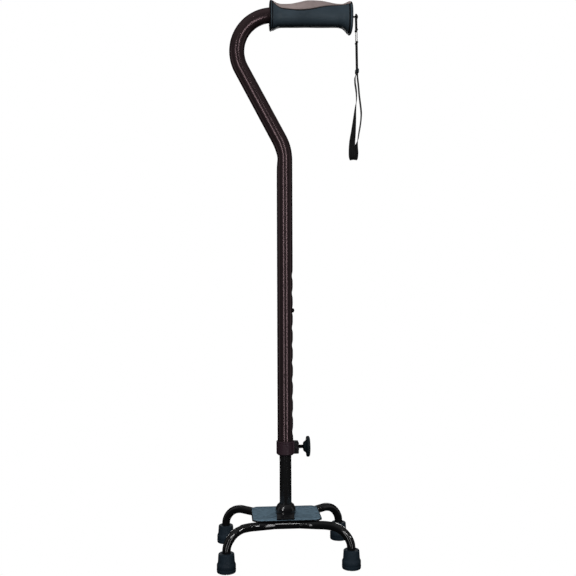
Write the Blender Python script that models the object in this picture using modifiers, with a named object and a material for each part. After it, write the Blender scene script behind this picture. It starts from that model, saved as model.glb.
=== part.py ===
"""Quad walking cane: a four-footed base, a telescoping shaft, an offset handle and a wrist strap.

Metres, +Z up. The origin is on the floor on the shaft's axis, and +X points to the grip's free end.
Each sub-part is one object. Pieces that touch keep a gap of FIT between them.
"""

import math

import bmesh
import bpy
import numpy as np
from mathutils import Matrix, Vector

FIT = 0.0003
CUT = 0.001  # how far a cutter runs past the face that it cuts

# Shaft: the handle tube slides over the inner tube.
OUTER_RADIUS = 0.0111
OUTER_WALL = 0.0012
OUTER_BORE = OUTER_RADIUS - OUTER_WALL
INNER_RADIUS = 0.00875
INNER_WALL = 0.0012
INNER_BORE = INNER_RADIUS - INNER_WALL
INNER_BOTTOM = 0.0573
INNER_TOP = 0.3740
OUTER_BOTTOM = 0.1515

# Height adjustment: ten holes at one inch, and a button in the third from the top.
HOLE_PITCH = 0.0254
HOLE_COUNT = 10
HOLES_ABOVE_BUTTON = 2
HOLE_RADIUS = 0.0035
BUTTON_Z = 0.3586
BUTTON_RADIUS = 0.0032
BUTTON_TIP = OUTER_RADIUS + 0.0027

# Offset handle: the grip's axis, the gooseneck's arc and the slope back to the shaft.
GRIP_AXIS = 0.7914
NECK_RADIUS = 0.0538
NECK_X = -0.0156
SLOPE = math.radians(28.4)
LOWER_BEND_RADIUS = 0.0650
TUBE_END_X = 0.0925

# Grip: outline stations along X as (x, top, bottom, half width), about the tube's axis.
GRIP_STATIONS = (
    (-0.0214, 0.0202, -0.0216, 0.0188),
    (-0.0202, 0.0209, -0.0225, 0.0194),
    (-0.0176, 0.0202, -0.0222, 0.0189),
    (-0.0135, 0.0175, -0.0202, 0.0168),
    (-0.0080, 0.0156, -0.0178, 0.0151),
    (0.0010, 0.0151, -0.0170, 0.0145),
    (0.0110, 0.0159, -0.0168, 0.0144),
    (0.0225, 0.0185, -0.0165, 0.0147),
    (0.0330, 0.0210, -0.0161, 0.0151),
    (0.0440, 0.0214, -0.0160, 0.0153),
    (0.0560, 0.0209, -0.0159, 0.0150),
    (0.0660, 0.0191, -0.0157, 0.0145),
    (0.0740, 0.0176, -0.0155, 0.0143),
    (0.0810, 0.0170, -0.0157, 0.0145),
    (0.0870, 0.0173, -0.0175, 0.0153),
    (0.0915, 0.0191, -0.0224, 0.0172),
    (0.0955, 0.0210, -0.0275, 0.0188),
    (0.0985, 0.0209, -0.0271, 0.0193),
    (0.1000, 0.0199, -0.0250, 0.0187),
)
GRIP_SQUARENESS = 0.86
GRIP_RING = 26
# Inlay: how high its lower edge runs along the grip, about the tube's axis.
INLAY_EDGE = (
    (-0.0165, 0.0152),
    (-0.0125, 0.0115),
    (-0.0080, 0.0086),
    (0.0080, 0.0056),
    (0.0240, 0.0049),
    (0.0400, 0.0066),
    (0.0540, 0.0101),
    (0.0690, 0.0129),
    (0.0840, 0.0146),
    (0.0970, 0.0158),
)
INLAY_DEPTH = 0.0026
GRIP_BORE = OUTER_RADIUS + 2 * FIT  # the tube still curves a little at the grip's mouth
GRIP_BORE_END = TUBE_END_X + FIT

# Collar, its boss and the clamp screw, all on one axis along X.
COLLAR_RADIUS = 0.0132
COLLAR_TOP = 0.1672
COLLAR_BOTTOM = 0.1480
BUSH_TOP = OUTER_BOTTOM - FIT
BOSS_X = 0.0198
BOSS_HALF_WIDTH = 0.0078
CLAMP_Z = 0.1583
SCREW_RADIUS = 0.00285
SCREW_CLEARANCE = 0.0032
NUT_RADIUS = 0.0045
NUT_BACK = 0.0122
NUT_FRONT = 0.0175
PAD_FRONT = 0.0116
KNOB_BACK = 0.0262
KNOB_FRONT = 0.0360
KNOB_RADIUS = 0.0151
KNOB_HUB_RADIUS = 0.0075
KNOB_SOCKET_END = 0.0334

# Base: two bent bars under one plate, with a hub for the inner tube.
FOOT_X = 0.0874
FOOT_Y = 0.0635
BAR_RADIUS = 0.0055
BAR_WALL = 0.0013
BAR_Y = 0.0290
BAR_END = 0.0075
PLATE_TOP = 0.0610
PLATE_THICKNESS = 0.0022
PLATE_HALF_X = 0.0502
PLATE_HALF_Y = 0.0365
PLATE_CORNER = 0.0070
BAR_Z = PLATE_TOP - PLATE_THICKNESS - FIT - BAR_RADIUS
HUB_RADIUS = 0.0140
HUB_TOP = 0.0755
HUB_BOTTOM = 0.0500
HUB_FLOOR = INNER_BOTTOM - FIT
FLANGE_HALF_Y = 0.0367
FLANGE_THICKNESS = 0.0030
BOLT_RADIUS = 0.0030
BOLT_CLEARANCE = 0.0034
BOLT_TOP = 0.0680
BOLT_HEAD = 0.0040
WASHER_THICKNESS = 0.0015

# Rubber tips.
TIP_HEIGHT = 0.0262
TIP_TOP_RADIUS = 0.0107
TIP_WAIST_RADIUS = 0.0115
TIP_SKIRT_RADIUS = 0.0128
TIP_SKIRT_TOP = 0.0112
TIP_WASHER_RADIUS = 0.0068
TIP_WASHER_THICKNESS = 0.0012
TIP_FLOOR = BAR_END - FIT - TIP_WASHER_THICKNESS - FIT

# Wrist strap, hung on a screw: a folded tab, a wire ring, a sewn double lead, a slider and a loop.
STRAP_WIDTH = 0.0100
WEB_THICKNESS = 0.0009
LEAD_THICKNESS = 0.0020
STRAP_X = 0.1067
STRAP_LEAN = 0.0140  # how far the hanging strap moves out for each metre down
POST_RADIUS = 0.0013
SCREW_HEAD_RADIUS = 0.0028
SCREW_HEAD = 0.0016
TAB_CROWN = 0.0046
RING_WIRE = 0.0006
RING_TOP = 0.7715
RING_BOTTOM = 0.7530
RING_HALF_WIDTH = 0.0064
RING_CORNER = 0.0022
LEAD_BOTTOM = 0.7115
SLIDER_TOP = 0.7140
SLIDER_BOTTOM = 0.7080
SLIDER_WALL = 0.0008
# The loop's route as (x, y, z, twist in degrees), down one strand and up the other. At no
# twist the webbing's width lies along Y, and at a quarter turn along X.
LOOP_ROUTE = (
    (0.10725, 0.0, 0.7112, 0),
    (0.1071, 0.0, 0.7075, 0),
    (0.1050, 0.0, 0.7020, 0),
    (0.1049, 0.0, 0.6948, 0),
    (0.1061, 0.0, 0.6860, 0),
    (0.1069, -0.0005, 0.6771, 2),
    (0.1067, -0.0010, 0.6667, 6),
    (0.1053, -0.0018, 0.6563, 17),
    (0.1036, -0.0028, 0.6385, 34),
    (0.1017, -0.0036, 0.6207, 52),
    (0.0996, -0.0042, 0.6030, 72),
    (0.0993, -0.0044, 0.5920, 84),
    (0.0997, -0.0038, 0.5846, 88),
    (0.1021, 0.0, 0.5807, 90),
    (0.1046, 0.0038, 0.5846, 88),
    (0.1057, 0.0044, 0.5920, 76),
    (0.1071, 0.0042, 0.6000, 40),
    (0.1092, 0.0034, 0.6090, 8),
    (0.1110, 0.0026, 0.6207, 0),
    (0.1136, 0.0012, 0.6385, 0),
    (0.1141, 0.0006, 0.6475, 0),
    (0.1135, 0.0, 0.6563, 0),
    (0.1122, 0.0, 0.6667, 0),
    (0.1110, 0.0, 0.6771, 0),
    (0.1103, 0.0, 0.6860, 0),
    (0.1094, 0.0, 0.6948, 0),
    (0.1086, 0.0, 0.7020, 0),
    (0.1084, 0.0, 0.7075, 0),
    (0.10835, 0.0, 0.7112, 0),
)

COLOURS = {
    "bronze_paint": ((0.030, 0.014, 0.016), 0.28, 0.6),
    "black_paint": ((0.012, 0.012, 0.013), 0.25, 0.3),
    "slate_paint": ((0.10, 0.15, 0.20), 0.5, 0.2),
    "grip_rubber": ((0.030, 0.048, 0.062), 0.5, 0.0),
    "inlay_rubber": ((0.22, 0.175, 0.175), 0.6, 0.0),
    "tip_rubber": ((0.025, 0.038, 0.052), 0.7, 0.0),
    "knob_plastic": ((0.020, 0.028, 0.036), 0.4, 0.0),
    "nylon": ((0.05, 0.05, 0.05), 0.5, 0.0),
    "zinc_steel": ((0.60, 0.60, 0.58), 0.3, 1.0),
    "spring_steel": ((0.45, 0.46, 0.48), 0.25, 1.0),
    "black_oxide": ((0.015, 0.015, 0.016), 0.35, 0.8),
    "brass": ((0.70, 0.50, 0.20), 0.3, 1.0),
    "webbing": ((0.012, 0.012, 0.013), 0.9, 0.0),
}


def clear_scene():
    for old in list(bpy.data.objects):
        bpy.data.objects.remove(old, do_unlink=True)


def new_collection(name):
    collection = bpy.data.collections.new(name)
    bpy.context.scene.collection.children.link(collection)
    return collection


def make_materials():
    made = {}
    for name, (colour, roughness, metallic) in COLOURS.items():
        material = bpy.data.materials.new(name)
        material.use_nodes = True
        shader = material.node_tree.nodes["Principled BSDF"]
        shader.inputs["Base Color"].default_value = (*colour, 1.0)
        shader.inputs["Roughness"].default_value = roughness
        shader.inputs["Metallic"].default_value = metallic
        material.diffuse_color = (*colour, 1.0)
        made[name] = material
    return made


clear_scene()
CANE = new_collection("quad_walking_cane")
CUTTERS = new_collection("cutters")
MATERIALS = make_materials()


def add_part(name, mesh, material, smooth_angle=35):
    """Links a mesh as a finished sub-part."""
    part = bpy.data.objects.new(name, mesh)
    CANE.objects.link(part)
    mesh.materials.clear()
    mesh.materials.append(MATERIALS[material])
    mesh.shade_smooth()
    mesh.set_sharp_from_angle(angle=math.radians(smooth_angle))
    return part


def add_cutter(name, mesh):
    cutter = bpy.data.objects.new(name, mesh)
    CUTTERS.objects.link(cutter)
    cutter.hide_render = True
    cutter.display_type = "WIRE"
    return cutter


def boolean(part, cutter, operation="DIFFERENCE"):
    modifier = part.modifiers.new(operation.lower() + "_" + cutter.name, "BOOLEAN")
    modifier.operation = operation
    modifier.object = cutter
    modifier.solver = "EXACT"


def profile_mesh(name, points, closed):
    """A polyline of (radius, height) points in the XZ plane, to be turned about Z."""
    mesh = bpy.data.meshes.new(name)
    count = len(points)
    edges = [(i, i + 1) for i in range(count - 1)]
    if closed:
        edges.append((count - 1, 0))
    mesh.from_pydata([(r, 0.0, h) for r, h in points], edges, [])
    return mesh


def turn(target, steps):
    """Turns the target's profile about Z. The profile runs down its outer side."""
    screw = target.modifiers.new("turn", "SCREW")
    screw.axis = "Z"
    screw.steps = steps
    screw.render_steps = steps
    screw.use_merge_vertices = True
    screw.merge_threshold = 0.00001
    screw.use_smooth_shade = True


def turned_part(name, points, material, steps=28, closed=False):
    part = add_part(name, profile_mesh(name, points, closed), material)
    turn(part, steps)
    return part


def cylinder_mesh(name, radius, low, high, sides=24, axis="Z", across=(0.0, 0.0)):
    """A cylinder from low to high along Z or X, with its axis at across in the other two."""
    mesh = bpy.data.meshes.new(name)
    shape = bmesh.new()
    place = Matrix.Translation((across[0], across[1], (low + high) / 2))
    if axis == "X":
        place = Matrix.Translation(((low + high) / 2, across[0], across[1]))
        place = place @ Matrix.Rotation(math.pi / 2, 4, "Y")
    bmesh.ops.create_cone(
        shape,
        cap_ends=True,
        segments=sides,
        radius1=radius,
        radius2=radius,
        depth=high - low,
        matrix=place,
    )
    shape.to_mesh(mesh)
    shape.free()
    return mesh


def box_mesh(name, low, high):
    mesh = bpy.data.meshes.new(name)
    shape = bmesh.new()
    bmesh.ops.create_cube(shape, size=1.0)
    size = Vector(high) - Vector(low)
    middle = (Vector(high) + Vector(low)) / 2
    bmesh.ops.scale(shape, vec=size, verts=shape.verts)
    bmesh.ops.translate(shape, vec=middle, verts=shape.verts)
    shape.to_mesh(mesh)
    shape.free()
    return mesh


def arc(centre, radius, first, last, steps):
    """Points on an arc in the XZ plane, with angles in radians from +X towards +Z."""
    angles = np.linspace(first, last, steps + 1)
    return [
        (centre[0] + radius * math.cos(a), centre[1] + radius * math.sin(a))
        for a in angles
    ]


def spline_point(stations, x):
    """The stations' values at x, on a Catmull-Rom curve through them."""
    table = np.array(stations)
    places = table[:, 0]
    slopes = np.gradient(table[:, 1:], places, axis=0)
    i = int(np.clip(np.searchsorted(places, x) - 1, 0, len(places) - 2))
    step = places[i + 1] - places[i]
    t = (x - places[i]) / step
    start = (2 * t**3 - 3 * t**2 + 1) * table[i, 1:] + (t**3 - 2 * t**2 + t) * step * slopes[i]
    end = (3 * t**2 - 2 * t**3) * table[i + 1, 1:] + (t**3 - t**2) * step * slopes[i + 1]
    return start + end


def curve_mesh(name, points, radius, resolution, wall=0.0):
    """A mesh tube along the points. With a wall it is an open pipe of that thickness."""
    curve = bpy.data.curves.new(name, "CURVE")
    curve.dimensions = "3D"
    curve.bevel_depth = radius
    curve.bevel_resolution = resolution
    curve.use_fill_caps = wall == 0.0
    spline = curve.splines.new("POLY")
    spline.points.add(len(points) - 1)
    for point, place in zip(spline.points, points):
        point.co = (*place, 1.0)
    guide = bpy.data.objects.new(name, curve)
    bpy.context.scene.collection.objects.link(guide)
    graph = bpy.context.evaluated_depsgraph_get()
    mesh = bpy.data.meshes.new_from_object(guide.evaluated_get(graph))
    bpy.data.objects.remove(guide)
    shape = bmesh.new()
    shape.from_mesh(mesh)
    bmesh.ops.remove_doubles(shape, verts=shape.verts, dist=0.000001)
    shape.to_mesh(mesh)
    shape.free()
    return mesh


def add_wall(part, wall):
    """Gives an open pipe its wall, inwards from the outer surface."""
    solid = part.modifiers.new("wall", "SOLIDIFY")
    solid.thickness = wall
    solid.offset = -1.0
    solid.use_even_offset = True


def loft(name, rings, closed=False):
    """A solid through rings with the same number of points. If closed, it runs back to the first."""
    mesh = bpy.data.meshes.new(name)
    shape = bmesh.new()
    made = [[shape.verts.new(p) for p in ring] for ring in rings]
    count = len(rings[0])
    following = made[1:] + made[:1] if closed else made[1:]
    for here, after in zip(made, following):
        for i in range(count):
            j = (i + 1) % count
            shape.faces.new((here[i], here[j], after[j], after[i]))
    if not closed:
        shape.faces.new(list(reversed(made[0])))
        shape.faces.new(made[-1])
    bmesh.ops.recalc_face_normals(shape, faces=shape.faces)
    shape.to_mesh(mesh)
    shape.free()
    return mesh


def outline_mesh(name, outlines, half_thickness):
    """A 2D curve with one spline for each outline, filled and extruded to both sides."""
    curve = bpy.data.curves.new(name, "CURVE")
    curve.dimensions = "2D"
    curve.fill_mode = "BOTH"
    curve.extrude = half_thickness
    for outline in outlines:
        spline = curve.splines.new("POLY")
        spline.points.add(len(outline) - 1)
        for point, (x, y) in zip(spline.points, outline):
            point.co = (x, y, 0.0, 1.0)
        spline.use_cyclic_u = True
    guide = bpy.data.objects.new(name, curve)
    bpy.context.scene.collection.objects.link(guide)
    graph = bpy.context.evaluated_depsgraph_get()
    mesh = bpy.data.meshes.new_from_object(guide.evaluated_get(graph))
    bpy.data.objects.remove(guide)
    shape = bmesh.new()
    shape.from_mesh(mesh)
    bmesh.ops.remove_doubles(shape, verts=shape.verts, dist=0.000001)
    bmesh.ops.recalc_face_normals(shape, faces=shape.faces)
    shape.to_mesh(mesh)
    shape.free()
    return mesh


def flat_outline(name, outlines, half_thickness, material):
    return add_part(name, outline_mesh(name, outlines, half_thickness), material)


def smooth_route(route, per_span):
    """Points on a Catmull-Rom curve through the route's points."""
    points = np.array(route)
    spans = np.linalg.norm(np.diff(points[:, :3], axis=0), axis=1)
    along = np.concatenate(([0.0], np.cumsum(spans)))
    stations = np.column_stack((along, points))
    places = np.linspace(0.0, along[-1], per_span * (len(points) - 1) + 1)
    return [tuple(spline_point(stations, s)) for s in places]


# ---------------------------------------------------------------- shaft and handle


def handle_route():
    """The handle tube's centreline, from its lower end up and over to the grip's end."""
    neck_z = GRIP_AXIS - NECK_RADIUS
    neck_last = math.pi + SLOPE
    neck = arc((NECK_X, neck_z), NECK_RADIUS, neck_last, math.pi / 2, 13)
    foot_x, foot_z = neck[0]
    vertex_z = foot_z + foot_x / math.tan(SLOPE)
    tangent = LOWER_BEND_RADIUS * math.tan(SLOPE / 2)
    bend = arc(
        (-LOWER_BEND_RADIUS, vertex_z - tangent), LOWER_BEND_RADIUS, 0.0, SLOPE, 4
    )
    flat = [(0.0, OUTER_BOTTOM)] + bend + neck + [(TUBE_END_X, GRIP_AXIS)]
    return [(x, 0.0, z) for x, z in flat]


def hole_heights():
    top = BUTTON_Z + HOLES_ABOVE_BUTTON * HOLE_PITCH
    return [top - i * HOLE_PITCH for i in range(HOLE_COUNT)]


def side_holes(name, heights, radius, first_x, last_x):
    """One cutter that holds a cylinder along X at each height."""
    shape = bmesh.new()
    for height in heights:
        shape.from_mesh(
            cylinder_mesh(name, radius, first_x, last_x, 16, "X", (0.0, height))
        )
    mesh = bpy.data.meshes.new(name)
    shape.to_mesh(mesh)
    shape.free()
    return add_cutter(name, mesh)


def make_handle_tube():
    mesh = curve_mesh("handle_tube", handle_route(), OUTER_RADIUS, 8, OUTER_WALL)
    tube = add_part("handle_tube", mesh, "bronze_paint")
    add_wall(tube, OUTER_WALL)
    reach = (OUTER_BORE - 3 * CUT, OUTER_RADIUS + CUT)
    boolean(tube, side_holes("height_holes", hole_heights(), HOLE_RADIUS, *reach))
    boolean(tube, side_holes("clamp_hole", [CLAMP_Z], SCREW_CLEARANCE, *reach))


def make_inner_tube():
    profile = (
        (INNER_RADIUS, INNER_TOP),
        (INNER_RADIUS, INNER_BOTTOM),
        (INNER_BORE, INNER_BOTTOM),
        (INNER_BORE, INNER_TOP),
    )
    tube = turned_part("inner_tube", profile, "black_paint", 28, True)
    reach = (INNER_BORE - 3 * CUT, INNER_RADIUS + CUT)
    boolean(tube, side_holes("button_hole", [BUTTON_Z], HOLE_RADIUS, *reach))


def make_glide_cap():
    """The nylon cap on the inner tube's top, which centres it in the handle tube."""
    rim = OUTER_BORE - FIT
    spigot = INNER_BORE - FIT
    bottom = INNER_TOP + FIT
    profile = (
        (0.0048, bottom + 0.0060),
        (rim - 0.0010, bottom + 0.0060),
        (rim, bottom + 0.0050),
        (rim, bottom),
        (spigot, bottom),
        (spigot, bottom - 0.0070),
        (0.0048, bottom - 0.0070),
    )
    turned_part("glide_cap", profile, "nylon", 24, True)


def make_snap_button():
    """The pin through both tubes, with a flange that stops it in the inner tube."""
    flange_back = 0.0046
    flange_front = 0.0058
    profile = (
        (0.0, BUTTON_TIP),
        (0.0016, BUTTON_TIP - 0.0002),
        (0.0027, BUTTON_TIP - 0.0009),
        (BUTTON_RADIUS, BUTTON_TIP - 0.0021),
        (BUTTON_RADIUS, flange_front),
        (0.0040, flange_front),
        (0.0040, flange_back),
        (0.0, flange_back),
    )
    button = turned_part("snap_button", profile, "black_oxide", 20)
    button.rotation_euler = (0.0, math.pi / 2, 0.0)
    button.location = (0.0, 0.0, BUTTON_Z)


def make_button_spring():
    """The bent leaf behind the button: two legs joined by a bend at the bottom."""
    back_x = -0.0058
    front_x = 0.0039
    top = BUTTON_Z + 0.0055
    bend_z = BUTTON_Z - 0.0330
    radius = 0.0016
    half = 0.00025
    back_leg = [(back_x, BUTTON_Z + 0.0035), (back_x, bend_z)]
    bend = arc((back_x + radius, bend_z), radius, math.pi, 2 * math.pi, 6)[1:]
    front_leg = [(front_x, BUTTON_Z - 0.0050), (front_x, top)]
    outline = ribbon_outline(back_leg + bend + front_leg, half)
    leaf = flat_outline("button_spring", [outline], 0.0035, "spring_steel")
    leaf.rotation_euler = (math.pi / 2, 0.0, 0.0)


def ribbon_outline(route, half_thickness):
    """The closed outline of a strip of that thickness along a route of (x, z) points."""
    points = np.array(route)
    runs = np.gradient(points, axis=0)
    runs /= np.linalg.norm(runs, axis=1)[:, None]
    sides = np.column_stack((-runs[:, 1], runs[:, 0])) * half_thickness
    return [tuple(p) for p in points + sides] + [tuple(p) for p in (points - sides)[::-1]]


# ---------------------------------------------------------------- collar and clamp


def make_collar():
    """A sleeve round the handle tube's end, with a boss for the clamp screw."""
    chamfer = 0.0010
    shell = (
        (0.0, COLLAR_TOP),
        (COLLAR_RADIUS - chamfer / 2, COLLAR_TOP),
        (COLLAR_RADIUS, COLLAR_TOP - chamfer / 2),
        (COLLAR_RADIUS, COLLAR_BOTTOM + chamfer),
        (COLLAR_RADIUS - 2 * chamfer, COLLAR_BOTTOM - chamfer),
        (0.0, COLLAR_BOTTOM - chamfer),
    )
    collar = turned_part("collar", shell, "bronze_paint")
    inside = (0.0060, -BOSS_HALF_WIDTH, COLLAR_BOTTOM + chamfer)
    outside = (BOSS_X, BOSS_HALF_WIDTH, COLLAR_TOP - chamfer)
    boss = add_cutter("boss_block", box_mesh("boss_block", inside, outside))
    rounding = boss.modifiers.new("rounding", "BEVEL")
    rounding.width = 0.0016
    rounding.segments = 2
    boolean(collar, boss, "UNION")
    socket = (
        (0.0, COLLAR_TOP + CUT),
        (OUTER_RADIUS + FIT, COLLAR_TOP + CUT),
        (OUTER_RADIUS + FIT, COLLAR_BOTTOM + chamfer / 2),
        (INNER_RADIUS + 2 * FIT, COLLAR_BOTTOM + chamfer / 2),
        (INNER_RADIUS + 2 * FIT, COLLAR_BOTTOM - chamfer - CUT),
        (0.0, COLLAR_BOTTOM - chamfer - CUT),
    )
    hollow = add_cutter("collar_socket", profile_mesh("collar_socket", socket, False))
    turn(hollow, 28)
    boolean(collar, hollow)
    pocket_end = NUT_FRONT + FIT
    pocket = cylinder_mesh(
        "nut_pocket", NUT_RADIUS + FIT, 0.0080, pocket_end, 24, "X", (0.0, CLAMP_Z)
    )
    boolean(collar, add_cutter("nut_pocket", pocket))
    way_out = cylinder_mesh(
        "screw_way", SCREW_CLEARANCE, 0.0100, BOSS_X + CUT, 24, "X", (0.0, CLAMP_Z)
    )
    boolean(collar, add_cutter("screw_way", way_out))


def make_collar_bush():
    """The nylon bush in the collar's foot, on which the inner tube slides."""
    bottom = COLLAR_BOTTOM + 0.0005 + FIT
    profile = (
        (OUTER_RADIUS, BUSH_TOP),
        (OUTER_RADIUS, bottom),
        (INNER_RADIUS + FIT, bottom),
        (INNER_RADIUS + FIT, BUSH_TOP),
    )
    turned_part("collar_bush", profile, "nylon", 24, True)


def along_clamp(part):
    """Lays a part that was turned about Z on the clamp screw's axis."""
    part.rotation_euler = (0.0, math.pi / 2, 0.0)
    part.location = (0.0, 0.0, CLAMP_Z)


def make_clamp_nut():
    profile = (
        (NUT_RADIUS, NUT_FRONT),
        (NUT_RADIUS, NUT_BACK),
        (SCREW_CLEARANCE, NUT_BACK),
        (SCREW_CLEARANCE, NUT_FRONT),
    )
    along_clamp(turned_part("clamp_nut", profile, "brass", 20, True))


def make_clamp_pad():
    """The nylon pad that bears on the inner tube."""
    profile = (
        (0.0, PAD_FRONT),
        (0.0024, PAD_FRONT),
        (0.0028, PAD_FRONT - 0.0004),
        (0.0028, INNER_RADIUS + FIT),
        (0.0, INNER_RADIUS + FIT),
    )
    along_clamp(turned_part("clamp_pad", profile, "nylon", 20))


def make_clamp_screw():
    profile = (
        (0.0, KNOB_SOCKET_END - FIT),
        (SCREW_RADIUS, KNOB_SOCKET_END - FIT),
        (SCREW_RADIUS, PAD_FRONT + FIT),
        (0.0, PAD_FRONT + FIT),
    )
    along_clamp(turned_part("clamp_screw", profile, "black_oxide", 24))


def make_clamp_knob():
    """The round knob: a hub that flares into a disc."""
    disc_back = KNOB_FRONT - 0.0040
    profile = (
        (0.0, KNOB_FRONT),
        (0.0090, KNOB_FRONT - 0.0002),
        (KNOB_RADIUS - 0.0012, KNOB_FRONT - 0.0007),
        (KNOB_RADIUS, KNOB_FRONT - 0.0018),
        (KNOB_RADIUS, disc_back + 0.0010),
        (KNOB_RADIUS - 0.0008, disc_back),
        (0.0112, disc_back - 0.0007),
        (0.0088, KNOB_BACK + 0.0022),
        (KNOB_HUB_RADIUS, KNOB_BACK + 0.0008),
        (KNOB_HUB_RADIUS - 0.0008, KNOB_BACK),
        (SCREW_RADIUS + FIT, KNOB_BACK),
        (SCREW_RADIUS + FIT, KNOB_SOCKET_END),
        (0.0, KNOB_SOCKET_END),
    )
    along_clamp(turned_part("clamp_knob", profile, "knob_plastic", 28))


# ---------------------------------------------------------------- grip


def grip_point(x, angle, inset):
    """A point on the grip's skin, inset towards the tube's axis. Angle 0 is +Y."""
    top, bottom, half_width = spline_point(GRIP_STATIONS, x)
    across = math.cos(angle)
    up = math.sin(angle)
    y = half_width * math.copysign(abs(across) ** GRIP_SQUARENESS, across)
    height = top if up > 0 else -bottom
    z = height * math.copysign(abs(up) ** GRIP_SQUARENESS, up)
    reach = math.hypot(y, z)
    keep = (reach - inset) / reach
    return (x, y * keep, GRIP_AXIS + z * keep)


def grip_stations(first, last, count):
    """Places along the grip between two ends: even ones, and closer at the flanges."""
    even = np.linspace(first, last, count)
    edges = [s[0] for s in GRIP_STATIONS if first < s[0] < last]
    places = sorted(list(even) + edges)
    kept = [places[0]]
    for place in places[1:]:
        if place - kept[-1] > 0.0010:
            kept.append(place)
    kept[-1] = last
    return kept


def inlay_ring(x, outer_inset, inner_inset, margin):
    """The inlay's section at x: out along its skin and back along its floor."""
    top = spline_point(GRIP_STATIONS, x)[0]
    edge = spline_point(INLAY_EDGE, x)[0] - margin
    first = math.asin(min((edge / top) ** (1 / GRIP_SQUARENESS), 0.97))
    angles = np.linspace(first, math.pi - first, 9)
    skin = [grip_point(x, a, outer_inset) for a in angles]
    floor = [grip_point(x, a, inner_inset) for a in angles[::-1]]
    return skin + floor


def make_grip():
    """The moulded grip body, with a bore for the tube and a bed for the inlay."""
    first = GRIP_STATIONS[0][0]
    last = GRIP_STATIONS[-1][0]
    around = np.linspace(0, 2 * math.pi, GRIP_RING, endpoint=False)
    places = grip_stations(first, last, 10)
    rings = [[grip_point(x, a, 0.0) for a in around] for x in places]
    body = add_part("grip_body", loft("grip_body", rings), "grip_rubber", 50)
    bed_first = INLAY_EDGE[0][0] - FIT
    bed_last = INLAY_EDGE[-1][0] + FIT
    bed = [
        inlay_ring(np.clip(x, INLAY_EDGE[0][0], INLAY_EDGE[-1][0]), -0.004, INLAY_DEPTH + FIT, FIT)
        for x in grip_stations(bed_first, bed_last, 10)
    ]
    bed[0] = [(bed_first, y, z) for _, y, z in bed[0]]
    bed[-1] = [(bed_last, y, z) for _, y, z in bed[-1]]
    boolean(body, add_cutter("inlay_bed", loft("inlay_bed", bed)))
    bore = cylinder_mesh(
        "grip_bore", GRIP_BORE, first - CUT, GRIP_BORE_END, 32, "X", (0.0, GRIP_AXIS)
    )
    boolean(body, add_cutter("grip_bore", bore))
    outlet = cylinder_mesh(
        "strap_outlet", POST_RADIUS + FIT, 0.0850, last + CUT, 20, "X", (0.0, GRIP_AXIS)
    )
    boolean(body, add_cutter("strap_outlet", outlet))


def make_grip_inlay():
    """The softer palm pad that lies in the grip's top."""
    places = grip_stations(INLAY_EDGE[0][0], INLAY_EDGE[-1][0], 10)
    rings = [inlay_ring(x, 0.0, INLAY_DEPTH, 0.0) for x in places]
    add_part("grip_inlay", loft("grip_inlay", rings), "inlay_rubber", 50)


def make_end_plug():
    """The nylon plug in the tube's end that takes the strap's screw."""
    outer = OUTER_BORE - FIT
    back = TUBE_END_X - 0.0140
    profile = (
        (POST_RADIUS + FIT, TUBE_END_X - 0.0002),
        (outer, TUBE_END_X - 0.0002),
        (outer, back + 0.0010),
        (outer - 0.0010, back),
        (POST_RADIUS + FIT, back),
    )
    plug = turned_part("end_plug", profile, "nylon", 22, True)
    plug.rotation_euler = (0.0, math.pi / 2, 0.0)
    plug.location = (0.0, 0.0, GRIP_AXIS)


# ---------------------------------------------------------------- wrist strap


def strap_x(height):
    """The hanging strap's middle at a height: it leans outwards a little."""
    return STRAP_X + STRAP_LEAN * (GRIP_AXIS - height)


def make_strap_screw():
    """The screw that stands out of the grip's end and holds the strap under its head."""
    head_back = STRAP_X + LEAD_THICKNESS / 2 + FIT
    head_front = head_back + SCREW_HEAD
    thread_end = TUBE_END_X - 0.0120
    profile = (
        (0.0, head_front),
        (SCREW_HEAD_RADIUS - 0.0008, head_front),
        (SCREW_HEAD_RADIUS, head_front - 0.0006),
        (SCREW_HEAD_RADIUS, head_back),
        (POST_RADIUS, head_back),
        (POST_RADIUS, thread_end),
        (0.0, thread_end),
    )
    screw = turned_part("strap_screw", profile, "black_oxide", 18)
    screw.rotation_euler = (0.0, math.pi / 2, 0.0)
    screw.location = (0.0, 0.0, GRIP_AXIS)


def folded_strip(name, eye_z, end_z):
    """Webbing folded round one of the ring's bars and sewn flat, up or down to end_z."""
    eye = RING_WIRE + FIT
    bulge = eye + WEB_THICKNESS
    half = LEAD_THICKNESS / 2
    meeting = math.asin(half / bulge)
    length = abs(end_z - eye_z)
    fold = arc((0.0, 0.0), bulge, meeting, 2 * math.pi - meeting, 14)
    outline = fold + [(length, -half), (length, half)]
    hole = arc((0.0, 0.0), eye, 0.0, 2 * math.pi, 14)[:-1]
    strip = flat_outline(name, [outline, hole], STRAP_WIDTH / 2, "webbing")
    along = Vector((strap_x(end_z) - strap_x(eye_z), 0.0, end_z - eye_z)).normalized()
    width = Vector((0.0, 1.0, 0.0))
    axes = Matrix((along, width.cross(along), width)).transposed().to_4x4()
    strip.matrix_world = Matrix.Translation((strap_x(eye_z), 0.0, eye_z)) @ axes
    return strip


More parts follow.
